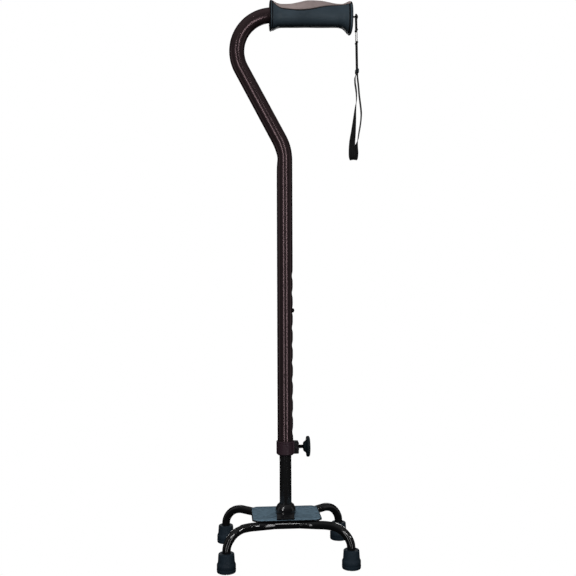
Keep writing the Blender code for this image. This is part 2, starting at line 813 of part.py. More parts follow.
def make_strap_tab():
    """The tab under the screw's head, with a round crown and an eyelet."""
    tab = folded_strip("strap_tab", RING_TOP, GRIP_AXIS + TAB_CROWN)
    across = (STRAP_X - STRAP_WIDTH, STRAP_X + STRAP_WIDTH)
    eyelet = cylinder_mesh(
        "tab_eyelet", POST_RADIUS + FIT, *across, 18, "X", (0.0, GRIP_AXIS)
    )
    boolean(tab, add_cutter("tab_eyelet", eyelet))
    # The waste round the crown, drawn in the YZ plane about the crown's centre.
    radius = STRAP_WIDTH / 2
    beyond = radius + CUT
    crown = arc((0.0, 0.0), radius, 0.0, math.pi, 12)
    waste = [(beyond, 0.0)] + crown + [(-beyond, 0.0), (-beyond, beyond), (beyond, beyond)]
    corners = add_cutter("tab_corners", outline_mesh("tab_corners", [waste], STRAP_WIDTH))
    corners.rotation_euler = (math.pi / 2, 0.0, math.pi / 2)
    corners.location = (STRAP_X, 0.0, GRIP_AXIS + TAB_CROWN - radius - FIT)
    boolean(tab, corners)


def make_strap_ring():
    """The rectangular wire ring that links the tab to the lead, in the YZ plane."""
    high = (RING_TOP - RING_BOTTOM) / 2
    corner_y = RING_HALF_WIDTH - RING_CORNER
    corner_z = high - RING_CORNER
    route = []
    for i, (y, z) in enumerate(((1, 1), (-1, 1), (-1, -1), (1, -1))):
        centre = (y * corner_y, z * corner_z)
        route += arc(centre, RING_CORNER, i * math.pi / 2, (i + 1) * math.pi / 2, 4)
    wire = [Vector((0.0, y, z)) for y, z in route]
    lean = Matrix.Rotation(-math.atan(STRAP_LEAN), 3, "Y")
    sides = 8
    rings = []
    for i, place in enumerate(wire):
        run = (wire[(i + 1) % len(wire)] - wire[i - 1]).normalized()
        out = Vector((1.0, 0.0, 0.0)).cross(run)
        rings.append(
            [
                lean @ (place + RING_WIRE * (math.cos(t) * out + math.sin(t) * Vector((1.0, 0.0, 0.0))))
                for t in np.linspace(0, 2 * math.pi, sides, endpoint=False)
            ]
        )
    ring = add_part("strap_ring", loft("strap_ring", rings, closed=True), "zinc_steel")
    middle = (RING_TOP + RING_BOTTOM) / 2
    ring.location = (strap_x(middle), 0.0, middle)


def make_strap_lead():
    """Two sewn layers of webbing, from the ring down into the slider."""
    folded_strip("strap_lead", RING_BOTTOM, LEAD_BOTTOM)


def make_strap_slider():
    """The moulded slider that gathers the strap's two layers."""
    middle = strap_x((SLIDER_TOP + SLIDER_BOTTOM) / 2)
    slot_x = LEAD_THICKNESS / 2 + FIT
    slot_y = STRAP_WIDTH / 2 + FIT
    half_x = slot_x + SLIDER_WALL
    half_y = slot_y + SLIDER_WALL
    low = (middle - half_x, -half_y, SLIDER_BOTTOM)
    high = (middle + half_x, half_y, SLIDER_TOP)
    slider = add_part("strap_slider", box_mesh("strap_slider", low, high), "knob_plastic")
    rounding = slider.modifiers.new("rounding", "BEVEL")
    rounding.width = 0.0005
    rounding.segments = 2
    slot = box_mesh(
        "slider_slot",
        (middle - slot_x, -slot_y, SLIDER_BOTTOM - CUT),
        (middle + slot_x, slot_y, SLIDER_TOP + CUT),
    )
    boolean(slider, add_cutter("slider_slot", slot))


def make_strap_loop():
    """The loop that goes round the wrist: one strip of webbing that twists as it hangs."""
    stations = smooth_route(LOOP_ROUTE, 2)
    places = [Vector(s[:3]) for s in stations]
    rings = []
    for i, (place, station) in enumerate(zip(places, stations)):
        run = (places[min(i + 1, len(places) - 1)] - places[max(i - 1, 0)]).normalized()
        twist = math.radians(station[3])
        width = Vector((math.sin(twist), math.cos(twist), 0.0))
        width = (width - width.dot(run) * run).normalized() * STRAP_WIDTH / 2
        thick = run.cross(width).normalized() * WEB_THICKNESS / 2
        near = (place - width - thick, place + width - thick)
        far = (place + width + thick, place - width + thick)
        rings.append([*near, *far])
    add_part("strap_loop", loft("strap_loop", rings), "webbing")


# ---------------------------------------------------------------- base


def bar_route(side):
    """A leg bar's centreline, foot to foot. Side is -1 for the front bar, 1 for the back."""
    half = [
        (0.0180, BAR_Y, BAR_Z),
        (0.0400, BAR_Y + 0.0050, BAR_Z),
        (0.0560, BAR_Y + 0.0135, BAR_Z + 0.0014),
        (0.0670, BAR_Y + 0.0215, BAR_Z + 0.0012),
        (0.0760, BAR_Y + 0.0280, BAR_Z - 0.0027),
        (0.0825, BAR_Y + 0.0320, BAR_Z - 0.0095),
        (0.0863, BAR_Y + 0.0337, BAR_Z - 0.0175),
        (FOOT_X, FOOT_Y, BAR_Z - 0.0265),
    ]
    right = smooth_route(half, 2) + [(FOOT_X, FOOT_Y, BAR_END)]
    left = [(-x, y, z) for x, y, z in reversed(right)]
    return [(x, side * y, z) for x, y, z in left + right]


def make_leg_bar(name, side):
    mesh = curve_mesh(name, bar_route(side), BAR_RADIUS, 4, BAR_WALL)
    bar = add_part(name, mesh, "black_paint")
    add_wall(bar, BAR_WALL)


def chamfered_rectangle(half_x, half_y, corner):
    return [
        (half_x - corner, -half_y),
        (half_x, -half_y + corner),
        (half_x, half_y - corner),
        (half_x - corner, half_y),
        (-half_x + corner, half_y),
        (-half_x, half_y - corner),
        (-half_x, -half_y + corner),
        (-half_x + corner, -half_y),
    ]


def make_base_plate():
    outline = chamfered_rectangle(PLATE_HALF_X, PLATE_HALF_Y, PLATE_CORNER)
    hub_hole = arc((0.0, 0.0), HUB_RADIUS + FIT, 0.0, 2 * math.pi, 32)[:-1]
    plate = flat_outline(
        "base_plate", [outline, hub_hole], PLATE_THICKNESS / 2, "slate_paint"
    )
    plate.location = (0.0, 0.0, PLATE_TOP - PLATE_THICKNESS / 2)


def make_hub():
    """The socket for the inner tube, with a saddle flange across the plate."""
    outside = (
        (0.0, HUB_TOP),
        (INNER_RADIUS + 0.0011, HUB_TOP),
        (HUB_RADIUS - 0.0024, HUB_TOP - 0.0027),
        (HUB_RADIUS - 0.0006, HUB_TOP - 0.0060),
        (HUB_RADIUS, HUB_TOP - 0.0100),
        (HUB_RADIUS, HUB_BOTTOM + 0.0010),
        (HUB_RADIUS - 0.0010, HUB_BOTTOM),
        (0.0, HUB_BOTTOM),
    )
    hub = turned_part("hub_socket", outside, "black_paint", 28)
    low = (-HUB_RADIUS + FIT, -FLANGE_HALF_Y, PLATE_TOP + FIT)
    high = (HUB_RADIUS - FIT, FLANGE_HALF_Y, PLATE_TOP + FIT + FLANGE_THICKNESS)
    flange = add_cutter("hub_flange", box_mesh("hub_flange", low, high))
    rounding = flange.modifiers.new("rounding", "BEVEL")
    rounding.width = 0.0010
    rounding.segments = 2
    boolean(hub, flange, "UNION")
    socket = cylinder_mesh(
        "hub_socket_bore", INNER_RADIUS + FIT, HUB_FLOOR, HUB_TOP + CUT, 28
    )
    boolean(hub, add_cutter("hub_socket_bore", socket))
    bolt_way = cylinder_mesh(
        "hub_bolt_way", BOLT_CLEARANCE, HUB_BOTTOM - CUT, HUB_FLOOR + CUT, 20
    )
    boolean(hub, add_cutter("hub_bolt_way", bolt_way))


def make_tube_insert():
    """The threaded plug in the inner tube's foot, which the hub bolt pulls down."""
    bottom = INNER_BOTTOM + FIT
    profile = (
        (0.0, bottom + 0.0140),
        (INNER_BORE - FIT, bottom + 0.0140),
        (INNER_BORE - FIT, bottom),
        (BOLT_CLEARANCE, bottom),
        (BOLT_CLEARANCE, BOLT_TOP + FIT),
        (0.0, BOLT_TOP + FIT),
    )
    turned_part("tube_insert", profile, "zinc_steel", 20)


def make_hub_washer():
    top = HUB_BOTTOM - FIT
    profile = (
        (0.0070, top),
        (0.0070, top - WASHER_THICKNESS),
        (BOLT_CLEARANCE, top - WASHER_THICKNESS),
        (BOLT_CLEARANCE, top),
    )
    turned_part("hub_washer", profile, "zinc_steel", 20, True)


def make_hub_bolt():
    """A hexagon-headed bolt, up through the hub's floor."""
    head_top = HUB_BOTTOM - WASHER_THICKNESS - 2 * FIT
    shank = cylinder_mesh("hub_bolt", BOLT_RADIUS, head_top - CUT, BOLT_TOP, 20)
    bolt = add_part("hub_bolt", shank, "zinc_steel")
    head = cylinder_mesh("bolt_head", 0.0055, head_top - BOLT_HEAD, head_top, 6)
    boolean(bolt, add_cutter("bolt_head", head), "UNION")


def make_tip(name, x, y):
    """A rubber tip: a socket for the bar, a stepped skirt and a flat foot."""
    hole = BAR_RADIUS + FIT
    profile = (
        (hole, TIP_HEIGHT),
        (TIP_TOP_RADIUS - 0.0014, TIP_HEIGHT),
        (TIP_TOP_RADIUS, TIP_HEIGHT - 0.0014),
        (TIP_WAIST_RADIUS, TIP_SKIRT_TOP + 0.0016),
        (TIP_SKIRT_RADIUS, TIP_SKIRT_TOP),
        (TIP_SKIRT_RADIUS, 0.0016),
        (TIP_SKIRT_RADIUS - 0.0016, 0.0),
        (0.0, 0.0),
        (0.0, TIP_FLOOR),
        (TIP_WASHER_RADIUS + FIT, TIP_FLOOR),
        (TIP_WASHER_RADIUS + FIT, BAR_END),
        (hole, BAR_END),
    )
    tip = turned_part("tip_" + name, profile, "tip_rubber", 22, True)
    tip.location = (x, y, 0.0)
    washer = (
        (TIP_WASHER_RADIUS, TIP_FLOOR + FIT + TIP_WASHER_THICKNESS),
        (TIP_WASHER_RADIUS, TIP_FLOOR + FIT),
        (0.0020, TIP_FLOOR + FIT),
        (0.0020, TIP_FLOOR + FIT + TIP_WASHER_THICKNESS),
    )
    ring = turned_part("tip_washer_" + name, washer, "zinc_steel", 16, True)
    ring.location = (x, y, 0.0)


def make_tips():
    for end, y in (("front", -FOOT_Y), ("back", FOOT_Y)):
        for hand, x in (("left", -FOOT_X), ("right", FOOT_X)):
            make_tip(end + "_" + hand, x, y)


make_handle_tube()
make_inner_tube()
make_glide_cap()
make_snap_button()
make_button_spring()
make_collar()
make_collar_bush()
make_clamp_nut()
make_clamp_pad()
make_clamp_screw()
make_clamp_knob()
make_grip()
make_grip_inlay()
make_end_plug()
make_strap_screw()
make_strap_tab()
make_strap_ring()
make_strap_lead()
make_strap_slider()
make_strap_loop()
make_leg_bar("front_leg_bar", -1)
make_leg_bar("back_leg_bar", 1)
make_base_plate()
make_hub()
make_tube_insert()
make_hub_washer()
make_hub_bolt()
make_tips()
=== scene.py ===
"""Looks of a quad walking cane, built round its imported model.

Metres, +Z up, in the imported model's frame: the origin is on the floor on the shaft's axis, +X
points to the grip's free end and -Y to the front feet. Each visible piece stands for one node of
the model and takes its place and size from that node's box.
"""

import math

import bmesh
import bpy
import numpy as np
from mathutils import Matrix, Vector


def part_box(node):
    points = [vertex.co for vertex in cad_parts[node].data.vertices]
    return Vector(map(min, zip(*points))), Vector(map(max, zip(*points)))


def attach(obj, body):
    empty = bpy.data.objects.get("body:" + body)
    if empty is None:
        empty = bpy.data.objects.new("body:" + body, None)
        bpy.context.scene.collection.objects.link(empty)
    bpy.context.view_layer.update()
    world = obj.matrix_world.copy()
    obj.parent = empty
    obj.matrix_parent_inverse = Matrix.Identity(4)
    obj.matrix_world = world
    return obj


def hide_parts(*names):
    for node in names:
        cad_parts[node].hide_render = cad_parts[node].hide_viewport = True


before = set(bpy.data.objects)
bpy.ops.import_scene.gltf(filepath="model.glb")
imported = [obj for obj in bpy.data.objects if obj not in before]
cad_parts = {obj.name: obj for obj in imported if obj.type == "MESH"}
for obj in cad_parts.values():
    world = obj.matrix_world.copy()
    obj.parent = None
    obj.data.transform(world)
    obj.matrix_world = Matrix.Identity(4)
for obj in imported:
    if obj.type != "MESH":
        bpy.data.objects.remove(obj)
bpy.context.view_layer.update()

FIT = 0.0003  # the gap between pieces that touch
PAINT = 0.00045  # the thickness of a paint film, where nothing rubs on it
CUT = 0.001  # how far a cutter runs past the face that it cuts


def high(node, axis):
    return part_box(node)[1]["xyz".index(axis)]


def low(node, axis):
    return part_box(node)[0]["xyz".index(axis)]


def middle(node):
    low_corner, high_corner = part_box(node)
    return (low_corner + high_corner) / 2


# ---------------------------------------------------------------- camera

VIEW_TURN = math.radians(-4.38)
VIEW_PITCH = math.radians(-0.2135)
VIEW_ROLL = math.radians(0.19)
VIEW_DISTANCE = 1.201
VIEW_HEIGHT = 0.4165
VIEW_LENS = 51.11
VIEW_SHIFT_X = 0.0055
VIEW_SHIFT_Y = -0.0242
SENSOR_WIDTH = 36.0  # in millimetres, like the lens


def on_circle(turn, distance, height):
    """A point at a distance from the shaft's axis. Turn 0 is in front, at -Y."""
    return Vector((math.sin(turn) * distance, -math.cos(turn) * distance, height))


def make_camera():
    """Nearly level, at half the cane's height and a little to the left of its front."""
    data = bpy.data.cameras.new("camera")
    data.sensor_width = SENSOR_WIDTH
    data.lens = VIEW_LENS
    data.shift_x = VIEW_SHIFT_X
    data.shift_y = VIEW_SHIFT_Y
    camera = bpy.data.objects.new("camera", data)
    camera.location = on_circle(VIEW_TURN, VIEW_DISTANCE, VIEW_HEIGHT)
    camera.rotation_euler = (math.pi / 2 + VIEW_PITCH, VIEW_ROLL, VIEW_TURN)
    bpy.context.scene.collection.objects.link(camera)
    bpy.context.scene.camera = camera


make_camera()

# ---------------------------------------------------------------- shapes


def finish_piece(piece, body, slot, *replaced, look=None):
    """Gives a piece its body and the slot's look or another, and hides the nodes it replaces."""
    piece.data.materials.clear()
    piece.data.materials.append(LOOKS[look or slot])
    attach(piece, body)
    if replaced:
        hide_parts(*replaced)
    return piece


SHARP = 38  # degrees between faces, from which an edge is drawn sharp
SHARP_WHEN_SOFTENED = 60


def link_mesh(name, mesh, sharp=SHARP):
    piece = bpy.data.objects.new(name, mesh)
    bpy.context.scene.collection.objects.link(piece)
    mesh.shade_smooth()
    mesh.set_sharp_from_angle(angle=math.radians(sharp))
    return piece


def run_lengths(points):
    """How far along the polyline each of its points is."""
    steps = np.linalg.norm(np.diff(np.array(points), axis=0), axis=1)
    return np.concatenate(([0.0], np.cumsum(steps)))


def loft(shape, rings, closed=False):
    """Adds quads between rings of points, and an end face at each end unless the rings close."""
    made = [[shape.verts.new(point) for point in ring] for ring in rings]
    count = len(made[0])
    quads = []
    for i in range(len(made) if closed else len(made) - 1):
        here, after = made[i], made[(i + 1) % len(made)]
        for j in range(count):
            k = (j + 1) % count
            quads.append((i, j, shape.faces.new((here[j], here[k], after[k], after[j]))))
    if not closed:
        shape.faces.new(list(reversed(made[0])))
        shape.faces.new(made[-1])
    return quads


def lofted(rings):
    """A closed bmesh through rings of points."""
    shape = bmesh.new()
    loft(shape, rings)
    bmesh.ops.recalc_face_normals(shape, faces=shape.faces)
    return shape


def skin(name, rings, closed=False, along=None, sharp=SHARP):
    """A piece through rings of points. Its UV map runs round each ring, and along in metres."""
    rings = [np.asarray(ring, float) for ring in rings]
    count = len(rings[0])
    if along is None:
        along = run_lengths([ring.mean(axis=0) for ring in rings])
    shape = bmesh.new()
    uv = shape.loops.layers.uv.new("surface")
    for i, j, face in loft(shape, rings, closed):
        corners = ((j, i), (j + 1, i), (j + 1, i + 1), (j, i + 1))
        for loop, (around, row) in zip(face.loops, corners):
            loop[uv].uv = (around / count, along[min(row, len(along) - 1)])
    bmesh.ops.recalc_face_normals(shape, faces=shape.faces)
    return object_of(name, shape, sharp)


def arc(centre, radius, first, last, steps):
    angles = np.linspace(first, last, steps + 1)
    return [(centre[0] + radius * math.cos(a), centre[1] + radius * math.sin(a)) for a in angles]


def rounded(points, radius, steps):
    """A closed polyline with each corner turned into a curve, as far as its sides allow."""
    points = [Vector(p) for p in points]
    out = []
    for i, corner in enumerate(points):
        back = points[i - 1] - corner
        ahead = points[(i + 1) % len(points)] - corner
        reach = radius / math.tan(back.angle(ahead) / 2)
        reach = min(reach, 0.45 * back.length, 0.45 * ahead.length)
        first = corner + back.normalized() * reach
        last = corner + ahead.normalized() * reach
        for t in np.linspace(0, 1, steps + 1):
            out.append(first * (1 - t) ** 2 + corner * 2 * t * (1 - t) + last * t**2)
    return [tuple(p) for p in out]


def near(place, *steps):
    """Profile points, each one some steps out and up from a place."""
    return [(place[0] + out, place[1] + up) for out, up in steps]


def turned(
    name, profile, place=(0.0, 0.0, 0.0), axis="Z", sides=72, wave=None, closed=False, sharp=SHARP
):
    """A turned shape. The profile is (radius, height) along the axis; wave alters each radius."""
    rings = []
    for radius, height in profile:
        ring = []
        for turn in np.linspace(0, 2 * math.pi, sides, endpoint=False):
            r = wave(radius, height, turn) if wave else radius
            across, up = r * math.cos(turn), r * math.sin(turn)
            if axis == "Z":
                ring.append((place[0] + across, place[1] + up, place[2] + height))
            else:
                ring.append((place[0] + height, place[1] + across, place[2] + up))
        rings.append(ring)
    piece = skin(name, rings, closed, run_lengths(profile), sharp)
    shape = bmesh.new()
    shape.from_mesh(piece.data)
    bmesh.ops.remove_doubles(shape, verts=shape.verts, dist=1e-7)
    bmesh.ops.dissolve_degenerate(shape, edges=shape.edges, dist=1e-8)
    shape.to_mesh(piece.data)
    shape.free()
    return piece


def hermite(stations, x):
    """The stations' values at x, on a smooth curve through them."""
    table = np.array(stations, float)
    places = table[:, 0]
    slopes = np.gradient(table[:, 1:], places, axis=0)
    i = int(np.clip(np.searchsorted(places, x) - 1, 0, len(places) - 2))
    step = places[i + 1] - places[i]
    t = (x - places[i]) / step
    start = (2 * t**3 - 3 * t**2 + 1) * table[i, 1:] + (t**3 - 2 * t**2 + t) * step * slopes[i]
    end = (3 * t**2 - 2 * t**3) * table[i + 1, 1:] + (t**3 - t**2) * step * slopes[i + 1]
    return start + end


def smooth_route(route, count):
    """Points on a smooth curve through the route's points, at even places along it."""
    points = np.array(route, float)
    stations = np.column_stack((run_lengths(points[:, :3]), points))
    return [hermite(stations, s) for s in np.linspace(0.0, stations[-1, 0], count)]


def tube_rings(centres, radius, sides):
    """Circles round a route, each turned as little as it can be from the one before."""
    centres = [Vector(c) for c in centres]
    rings = []
    side = None
    for i, centre in enumerate(centres):
        run = (centres[min(i + 1, len(centres) - 1)] - centres[max(i - 1, 0)]).normalized()
        if side is None:
            side = run.orthogonal().normalized()
        side = (side - side.dot(run) * run).normalized()
        other = run.cross(side)
        turns = np.linspace(0, 2 * math.pi, sides, endpoint=False)
        rings.append([centre + radius * (math.cos(t) * side + math.sin(t) * other) for t in turns])
    return rings


def box_shape(low_corner, high_corner, round_by=0.0, segments=3):
    """A box in a bmesh, with its edges rounded."""
    shape = bmesh.new()
    bmesh.ops.create_cube(shape, size=1.0)
    size = Vector(high_corner) - Vector(low_corner)
    bmesh.ops.scale(shape, vec=size, verts=shape.verts)
    centre = (Vector(high_corner) + Vector(low_corner)) / 2
    bmesh.ops.translate(shape, vec=centre, verts=shape.verts)
    if round_by:
        bevel = {"offset": round_by, "segments": segments, "affect": "EDGES", "profile": 0.5}
        bmesh.ops.bevel(shape, geom=shape.edges[:], **bevel)
    return shape


def cylinder_shape(radius, first, last, across=(0.0, 0.0), axis="X", sides=40):
    """A cylinder in a bmesh, from first to last along the axis."""
    shape = bmesh.new()
    place = Matrix.Translation((across[0], across[1], (first + last) / 2))
    if axis == "X":
        turn = Matrix.Rotation(math.pi / 2, 4, "Y")
        place = Matrix.Translation(((first + last) / 2, across[0], across[1])) @ turn
    ends = {"radius1": radius, "radius2": radius, "cap_ends": True}
    bmesh.ops.create_cone(shape, segments=sides, depth=last - first, matrix=place, **ends)
    return shape


def filled(name, outlines, first, last):
    """A flat shape inside closed (x, y) outlines, the later ones holes, from first to last in Z."""
    curve = bpy.data.curves.new(name, "CURVE")
    curve.dimensions = "2D"
    curve.fill_mode = "BOTH"
    curve.extrude = (last - first) / 2
    for points in outlines:
        spline = curve.splines.new("POLY")
        spline.points.add(len(points) - 1)
        for point, (x, y) in zip(spline.points, points):
            point.co = (x, y, 0.0, 1.0)
        spline.use_cyclic_u = True
    guide = bpy.data.objects.new(name, curve)
    bpy.context.scene.collection.objects.link(guide)
    graph = bpy.context.evaluated_depsgraph_get()
    mesh = bpy.data.meshes.new_from_object(guide.evaluated_get(graph))
    bpy.data.objects.remove(guide)
    mesh.transform(Matrix.Translation((0.0, 0.0, (first + last) / 2)))
    shape = bmesh.new()
    shape.from_mesh(mesh)
    bmesh.ops.remove_doubles(shape, verts=shape.verts, dist=1e-6)
    bmesh.ops.recalc_face_normals(shape, faces=shape.faces)
    return object_of(name, shape)


def object_of(name, shape, sharp=SHARP):
    mesh = bpy.data.meshes.new(name)
    shape.to_mesh(mesh)
    shape.free()
    return link_mesh(name, mesh, sharp)


def cut(piece, cutter, operation="DIFFERENCE"):
    """Applies a Boolean with a piece or a bmesh, and removes it."""
    if isinstance(cutter, bmesh.types.BMesh):
        cutter = object_of("cutter", cutter)
    modifier = piece.modifiers.new("cut", "BOOLEAN")
    modifier.operation = operation
    modifier.object = cutter
    modifier.solver = "EXACT"
    apply_modifiers(piece)
    bpy.data.objects.remove(cutter)


def apply_modifiers(piece, sharp=SHARP):
    bpy.context.view_layer.update()
    graph = bpy.context.evaluated_depsgraph_get()
    mesh = bpy.data.meshes.new_from_object(piece.evaluated_get(graph), depsgraph=graph)
    piece.modifiers.clear()
    piece.data = mesh
    mesh.shade_smooth()
    mesh.set_sharp_from_angle(angle=math.radians(sharp))


def soften_edges(piece, width, segments=2, limit=32):
    """Rounds the edges sharper than the limit, in degrees, so that they catch the light."""
    bevel = piece.modifiers.new("soften", "BEVEL")
    bevel.width = width
    bevel.segments = segments
    bevel.limit_method = "ANGLE"
    bevel.angle_limit = math.radians(limit)
    apply_modifiers(piece, SHARP_WHEN_SOFTENED)


def joined(name, shapes):
    """One object of several bmeshes that don't touch, such as stitches."""
    whole = bmesh.new()
    for shape in shapes:
        mesh = bpy.data.meshes.new("part")
        shape.to_mesh(mesh)
        shape.free()
        whole.from_mesh(mesh)
        bpy.data.meshes.remove(mesh)
    return object_of(name, whole)


# ---------------------------------------------------------------- materials


class Nodes:
    """Builds a tree of shader nodes."""

    def __init__(self, tree):
        self.tree = tree

    def node(self, kind, **inputs):
        made = self.tree.nodes.new("ShaderNode" + kind)
        for key, value in inputs.items():
            self.feed(made.inputs[key.replace("_", " ")], value)
        return made

    def feed(self, socket, value):
        if isinstance(value, bpy.types.NodeSocket):
            self.tree.links.new(value, socket)
        else:
            socket.default_value = value

    def ramp(self, value, *stops):
        """A colour ramp through (position, colour or grey level) stops."""
        made = self.node("ValToRGB", Fac=value)
        elements = made.color_ramp.elements
        while len(elements) < len(stops):
            elements.new(0.5)
        for element, (position, colour) in zip(elements, stops):
            element.position = position
            if isinstance(colour, (int, float)):
                colour = (colour, colour, colour)
            element.color = (*colour, 1.0)
        return made.outputs["Color"]

    def scaled(self, value, low_end, high_end, first=0.0, last=1.0):
        """The value, stretched so that first to last becomes low_end to high_end."""
        ends = {"From_Min": first, "From_Max": last, "To_Min": low_end, "To_Max": high_end}
        return self.node("MapRange", Value=value, **ends).outputs["Result"]


class Finish(Nodes):
    """A material under construction, on Blender's Principled shader."""

    def __init__(self, name, colour, roughness, metallic=0.0, **sockets):
        self.material = bpy.data.materials.new(name)
        self.material.use_nodes = True
        super().__init__(self.material.node_tree)
        self.shader = self.tree.nodes["Principled BSDF"]
        self.shader.inputs["Base Color"].default_value = (*colour, 1.0)
        self.shader.inputs["Roughness"].default_value = roughness
        self.shader.inputs["Metallic"].default_value = metallic
        for socket, value in sockets.items():
            self.shader.inputs[socket.replace("_", " ")].default_value = value
        self.place = self.node("TexCoord").outputs["Object"]
        self.normal = None

    def math(self, operation, a, b=0.0):
        made = self.tree.nodes.new("ShaderNodeMath")
        made.operation = operation
        for socket, value in zip(made.inputs, (a, b)):
            self.feed(socket, value)
        return made.outputs[0]

    def stretched(self, x, y, z):
        """The piece's own coordinates, scaled along each axis."""
        return self.node("Mapping", Vector=self.place, Scale=(x, y, z)).outputs["Vector"]

    def noise(self, scale, detail=3.0, roughness=0.5, vector=None):
        inputs = {"Scale": scale, "Detail": detail, "Roughness": roughness}
        return self.node("TexNoise", Vector=vector or self.place, **inputs).outputs["Fac"]

    def cells(self, scale):
        return self.node("TexVoronoi", Vector=self.place, Scale=scale).outputs["Distance"]

    def mix(self, share, a, b):
        made = self.tree.nodes.new("ShaderNodeMix")
        made.data_type = "RGBA"
        self.feed(made.inputs[0], share)
        for socket, value in ((made.inputs[6], a), (made.inputs[7], b)):
            if isinstance(value, tuple):
                value = (*value, 1.0)
            self.feed(socket, value)
        return made.outputs[2]

    def colour(self, value):
        self.feed(self.shader.inputs["Base Color"], value)

    def roughness(self, value):
        self.feed(self.shader.inputs["Roughness"], value)

    def bump(self, height, distance, strength=1.0):
        """Adds relief of a real height, in metres."""
        made = self.node("Bump", Height=height, Strength=strength, Distance=distance)
        if self.normal is not None:
            self.feed(made.inputs["Normal"], self.normal)
        self.normal = made.outputs["Normal"]
        self.feed(self.shader.inputs["Normal"], self.normal)


def shade(colour, by):
    return tuple(c * by for c in colour)


def bronze_paint():
    """Dark bronze metallic paint under a clear coat, with fine flake and a few rub marks."""
    base = (0.105, 0.070, 0.076)
    look = Finish("bronze_paint", base, 0.2, 0.85, Coat_Weight=0.2, Coat_Roughness=0.22)
    look.shader.inputs["Specular Tint"].default_value = (0.1, 0.1, 0.1, 1.0)
    flake = look.cells(6000.0)
    cloud = look.noise(38.0, 4.0)
    tone = look.ramp(flake, (0.0, shade(base, 1.04)), (0.9, shade(base, 0.97)))
    tone = look.mix(look.scaled(cloud, 0.0, 0.4, 0.35, 0.75), tone, shade(base, 0.80))
    look.colour(tone)
    rubbed = look.noise(500.0, 2.0, 0.6, look.stretched(1.0, 1.0, 0.05))
    rubs = look.scaled(rubbed, -0.005, 0.005)
    look.roughness(look.math("ADD", rubs, look.scaled(cloud, 0.21, 0.24)))
    return look.material


def collar_paint():
    """The collar's satin bronze, and the black moulded block of its boss."""
    base = (0.036, 0.020, 0.027)
    look = Finish("collar_paint", base, 0.5, 0.2)
    x = look.node("SeparateXYZ", Vector=look.place).outputs["X"]
    boss_start = COLLAR_RADIUS - 0.0008
    boss = look.scaled(x, 0.0, 1.0, boss_start, boss_start + 0.0002)
    grain = look.noise(2200.0, 3.0, 0.6)
    tone = look.ramp(grain, (0.3, shade(base, 0.8)), (0.7, shade(base, 1.25)))
    look.colour(look.mix(boss, tone, (0.005, 0.004, 0.005)))
    look.roughness(look.scaled(look.noise(90.0, 3.0), 0.40, 0.55, 0.3, 0.7))
    look.bump(grain, 0.00003)
    return look.material


def black_paint(name, base, roughness, peel):
    """Black powder coat with a slight orange peel, dulled patches and a little dust."""
    look = Finish(name, base, roughness, 0.0, Coat_Weight=0.5, Coat_Roughness=roughness)
    patches = look.noise(60.0, 4.0, 0.6)
    look.roughness(look.scaled(patches, roughness * 0.9, roughness * 1.25, 0.3, 0.75))
    dust = look.noise(1500.0, 3.0, 0.7)
    look.colour(look.ramp(dust, (0.60, base), (0.90, shade(base, 2.6))))
    look.bump(look.noise(240.0, 1.5), peel)
    return look.material


def slate_reflection_sheet():
    """The tread sheet on the plate: its slate blue is a painted reflection of the bright room on
    the plate's black top, over a fine grit in a matt, mottled binder.
    """
    # Painted reflection: this slate blue stands for light mirrored on the plate's black top.
    base = (0.135, 0.212, 0.275)
    look = Finish("slate_reflection_sheet", base, 0.62)
    grit = look.cells(1500.0)
    mottle = look.noise(330.0, 4.0, 0.65, look.stretched(0.5, 1.0, 1.0))
    worn = look.noise(70.0, 3.0, 0.6)
    stops = ((0.33, shade(base, 0.52)), (0.50, shade(base, 0.95)), (0.68, shade(base, 1.35)))
    tone = look.ramp(mottle, *stops)
    speck = look.mix(look.scaled(grit, 0.35, 0.0, 0.0, 0.5), tone, shade(base, 1.6))
    look.colour(look.mix(look.scaled(worn, 0.0, 0.4, 0.45, 0.75), speck, shade(base, 0.7)))
    look.roughness(look.scaled(grit, 0.5, 0.75))
    look.bump(grit, 0.00016, 0.6)
    look.bump(look.noise(900.0, 3.0), 0.00005)
    return look.material


def moulded_rubber(name, base, roughness, grain, relief, painted_shade_lines=()):
    """Moulded rubber: fine grain, cloudy tone, and painted shade darkening the lines at some places
    along X.
    """
    look = Finish(name, base, roughness, Specular_IOR_Level=0.35)
    cloud = look.noise(45.0, 4.0, 0.6)
    pores = look.cells(grain)
    tone = look.ramp(cloud, (0.30, shade(base, 0.82)), (0.72, shade(base, 1.18)))
    tone = look.mix(look.scaled(pores, 0.35, 0.0, 0.0, 0.5), tone, shade(base, 0.6))
    x = look.node("SeparateXYZ", Vector=look.place).outputs["X"]
    # Painted shade: near-black bands at the given places along X stand for shade in grooves and at
    # rounded ends.
    for place, half_width in painted_shade_lines:
        away = look.math("ABSOLUTE", look.math("SUBTRACT", x, place))
        painted_shade = look.scaled(away, 1.0, 0.0, half_width * 0.7, half_width * 1.2)
        tone = look.mix(painted_shade, tone, (0.003, 0.003, 0.004))
    look.colour(tone)
    look.roughness(look.scaled(cloud, roughness - 0.06, roughness + 0.08, 0.3, 0.7))
    look.bump(pores, relief)
    look.bump(look.noise(grain * 1.7, 2.0), relief * 0.5)
    return look.material


def moulded_plastic(name, base, roughness):
    """Matt moulded plastic with a fine spark-eroded grain."""
    look = Finish(name, base, roughness)
    grain = look.noise(2600.0, 3.0, 0.6)
    look.colour(look.ramp(grain, (0.3, shade(base, 0.85)), (0.7, shade(base, 1.2))))
    cloud = look.noise(120.0, 3.0)
    look.roughness(look.scaled(cloud, roughness - 0.07, roughness + 0.08, 0.3, 0.7))
    look.bump(grain, 0.00003)
    return look.material


